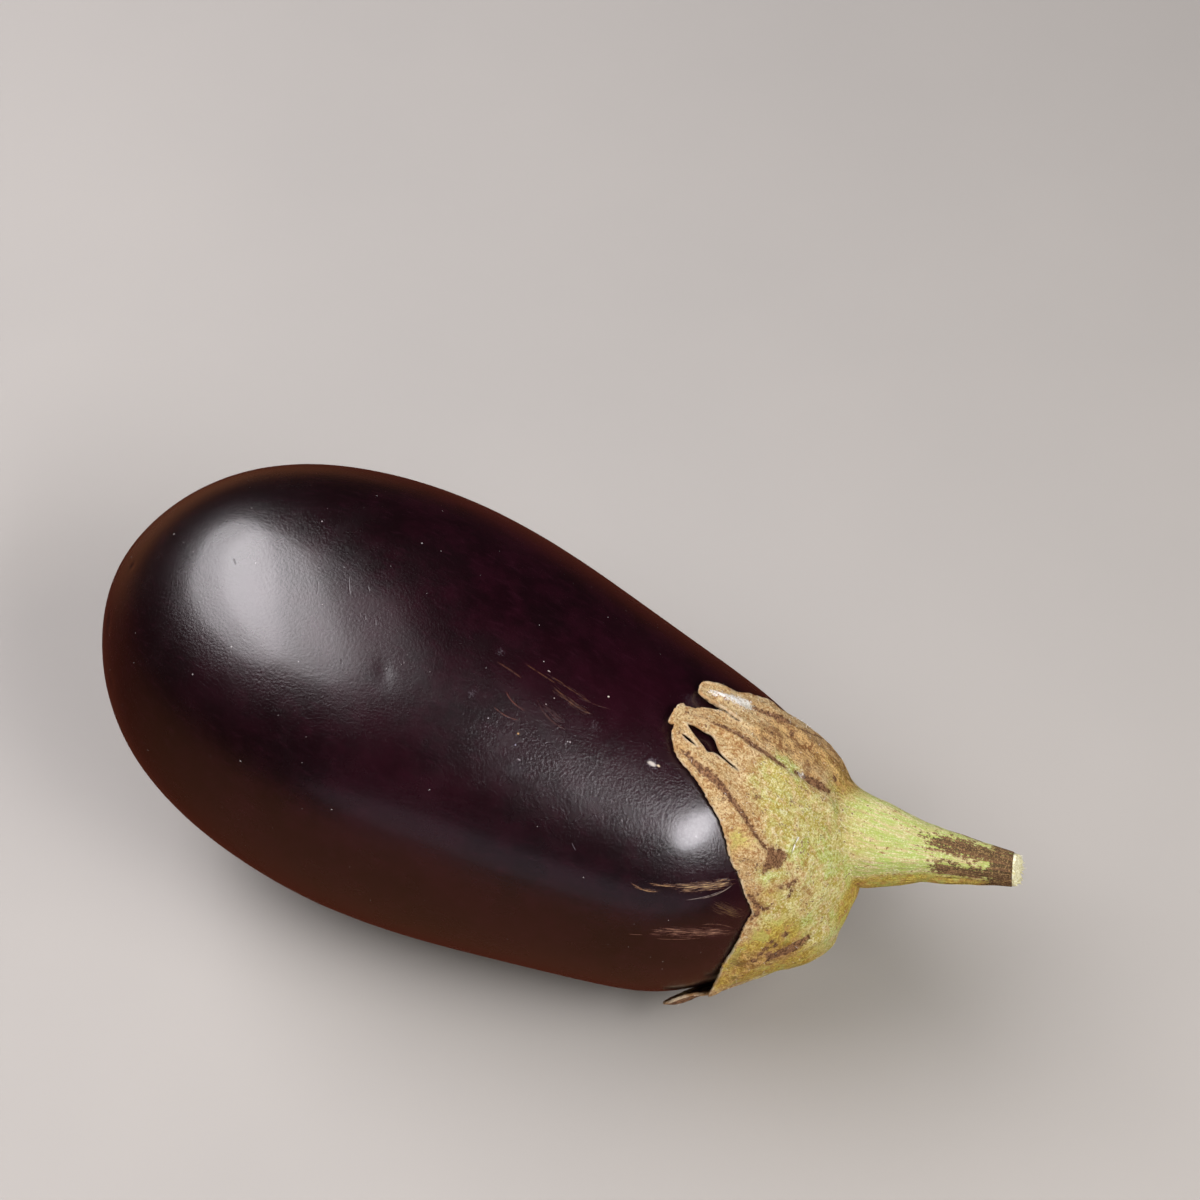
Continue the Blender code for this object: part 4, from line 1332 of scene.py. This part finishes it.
def make_cut_end(material):
    """The pale pith that stands out of the stem's skin at the cut, and its fibres."""
    turns = 2 * pi * np.arange(STEM_SIDES) / STEM_SIDES
    axis, across, upward = stem_axes()
    points = []
    for n in range(PITH_RINGS):
        share = n / (PITH_RINGS - 1)
        t = PITH_START + (BARK_END - PITH_START) * share
        ring = stem_section(t, turns, PITH_SCALE, PITH_SLANT * share, PITH_LONG_SIDE)
        jag = (noise_at(ring, PITH_JAG_SIZES[0], 6.0) * PITH_JAG
               + noise_at(ring, PITH_JAG_SIZES[1], 1.0) * PITH_JAG / 3)
        points.extend(ring + (PITH_REACH * share + jag * share ** 2)[:, None] * axis)
    for scale in PITH_FACE_SCALES:
        ring = stem_section(BARK_END, turns, PITH_SCALE * scale, PITH_SLANT * scale,
                            PITH_LONG_SIDE)
        jag = noise_at(ring, PITH_GRAIN_SIZE, 2.0) * PITH_JAG
        points.extend(ring + (PITH_REACH + jag)[:, None] * axis)
    rings = [range(start, start + STEM_SIDES) for start in range(0, len(points), STEM_SIDES)]
    faces = [tuple(rings[0])[::-1]]
    for near, far in zip(rings, rings[1:]):
        faces += bridge(near, far)
    faces.append(tuple(rings[-1]))
    random = np.random.default_rng(SEED)
    for _ in range(CUT_FIBRES):
        turn = random.uniform(*CUT_FIBRE_TURNS)
        reach = PITH_REACH + PITH_SLANT * cos(turn - PITH_LONG_SIDE)
        scale = PITH_SCALE * random.uniform(*CUT_FIBRE_PLACES)
        root = stem_section(BARK_END, np.array([turn]), scale)[0]
        root = root + axis * (reach - CUT_FIBRE_ROOT)
        lean = (random.uniform(-CUT_FIBRE_LEAN, CUT_FIBRE_LEAN) * across
                + random.uniform(-CUT_FIBRE_LEAN, CUT_FIBRE_LEAN) * upward)
        end = root + (axis + lean) * random.uniform(*CUT_FIBRE_LENGTHS) * MM
        add_blade(points, faces, root, end, CUT_FIBRE_WIDTH, across)
    mesh = new_mesh("stem_cut_end", to_world(points), faces, material)
    mesh.set_sharp_from_angle(angle=CUT_SHARP_ANGLE)
    add_piece(mesh, "dried_green")


def make_hairs(sheet, triangles, edge_tree, material):
    """Short pale hairs, most at the calyx's edges, white fuzz on lobe A and a loose fibre."""
    random = np.random.default_rng(SEED)
    corners = sheet[triangles]
    centres = corners.mean(axis=1)
    normals = np.cross(corners[:, 1] - corners[:, 0], corners[:, 2] - corners[:, 0])
    normals /= np.linalg.norm(normals, axis=1)[:, None]
    outward = centres - np.array([centres[:, 0].mean(), 0.0, 0.0])
    normals *= np.sign((normals * outward).sum(axis=1))[:, None]
    to_edge, _ = nearest(edge_tree, centres)
    to_fuzz = line_distance(centres, FUZZ_LINES)
    hair_weight = HAIR_ELSEWHERE + np.exp(-to_edge / HAIR_EDGE_WIDTH)
    fuzz_weight = np.exp(-(np.clip(to_fuzz, 0.0, None) / FUZZ_REACH) ** 4)
    points = []
    faces = []
    picked = [(random.choice(len(centres), count, p=weight / weight.sum()), shape)
              for count, weight, shape in ((HAIR_COUNT, hair_weight, HAIR_SHAPE),
                                           (FUZZ_COUNT, fuzz_weight, FUZZ_SHAPE))]
    for indices, (upright, shortest, longest) in picked:
        for index in indices:
            direction = normals[index] * upright + random.normal(0.0, HAIR_SPREAD, 3)
            direction /= np.linalg.norm(direction)
            length = random.uniform(shortest, longest) * MM
            root = (centres[index] + random.normal(0.0, HAIR_SCATTER, 3)
                    - normals[index] * HAIR_ROOT)
            add_blade(points, faces, root, root + direction * length, HAIR_WIDTH, HAIR_SIDE)
    _, seats = nearest(tree_of(centres), over_fruit(plan_points(LOOSE_FIBRE), 2 * CALYX_MIDDLE))
    fibre = centres[seats] + normals[seats] * LOOSE_FIBRE_LIFT
    for root, end in zip(fibre, fibre[1:]):
        overlap = (end - root) * LOOSE_FIBRE_OVERLAP
        add_blade(points, faces, root, end + overlap, LOOSE_FIBRE_WIDTH, HAIR_SIDE)
    mesh = new_mesh("calyx_hairs", to_world(points), faces, material)
    add_piece(mesh, "dried_green")


def direction_to(azimuth, elevation):
    """Unit vector to a direction: azimuth from +X towards +Y, elevation above the floor."""
    return Vector((cos(azimuth) * cos(elevation), sin(azimuth) * cos(elevation),
                   sin(elevation)))


def add_light(name, azimuth, elevation, distance, width, height, turn, power, colour):
    """A soft oval light that faces the fruit."""
    data = bpy.data.lights.new(name, "AREA")
    data.shape = "ELLIPSE"
    data.size = width
    data.size_y = height
    data.energy = power
    data.color = colour
    light = add_object(name, data)
    away = direction_to(radians(azimuth), radians(elevation))
    light.location = LIGHT_AIM + away * distance
    light.rotation_euler = away.to_track_quat("Z", "Y").to_euler()
    light.rotation_euler.rotate_axis("Z", radians(turn))
    return light


def make_world():
    """Dark above, and dim and warm below, where the skin would mirror a table."""
    world = bpy.data.worlds.new("studio")
    graph = Graph(world)
    place = graph.node("ShaderNodeTexCoord").outputs["Generated"]
    colour = WORLD_BELOW
    steps = [(direction_to(radians(azimuth), 0.0), reach, tint)
             for azimuth, reach, tint in WORLD_GLOWS]
    steps.append((Vector((0.0, 0.0, 1.0)), WORLD_EDGE, WORLD_ABOVE))
    for direction, (start, full), tint in steps:
        toward = graph.vector_math("DOT_PRODUCT", place, direction)
        share = graph.node("ShaderNodeMapRange", {"Value": toward, "From Min": start,
                                                  "From Max": full}).outputs["Result"]
        colour = graph.mix(share, colour, tint)
    graph.feed(graph.nodes["Background"].inputs["Color"], colour)
    bpy.context.scene.world = world


def make_stage():
    graph = new_graph("pale_floor")
    tone = graph.noise(graph.object_mm(), 90.0, 3.0)
    colour = graph.mix(tone, (0.36, 0.345, 0.325), (0.40, 0.38, 0.355))
    bpy.ops.mesh.primitive_plane_add(size=FLOOR_SIZE)
    floor = bpy.context.active_object
    floor.name = "floor"
    floor.data.materials.append(graph.shade(Base_Color=colour, Roughness=0.75))
    lights = [add_light(*light) for light in LIGHTS]
    fills = [add_light(*light) for light in FILL_LIGHTS]
    for unmirrored in (floor, *fills):
        unmirrored.visible_glossy = False
    make_world()
    bpy.context.scene.view_settings.view_transform = "Standard"


def make_camera():
    back = direction_to(CAMERA_AZIMUTH, CAMERA_ELEVATION)
    data = bpy.data.cameras.new("camera")
    data.angle = FIELD_OF_VIEW
    data.clip_start = 0.01
    camera = add_object("camera", data)
    camera.location = CAMERA_AIM + back * CAMERA_DISTANCE
    camera.rotation_euler = back.to_track_quat("Z", "Y").to_euler()
    bpy.context.scene.camera = camera


make_skin([skin_material(name, reach) for name, reach in SKIN_PARTS])
sheet, sheet_triangles, sheet_edges = make_calyx(calyx_material())
make_cut_end(cut_material())
make_hairs(sheet, sheet_triangles, sheet_edges, hair_material())
make_stage()
make_camera()
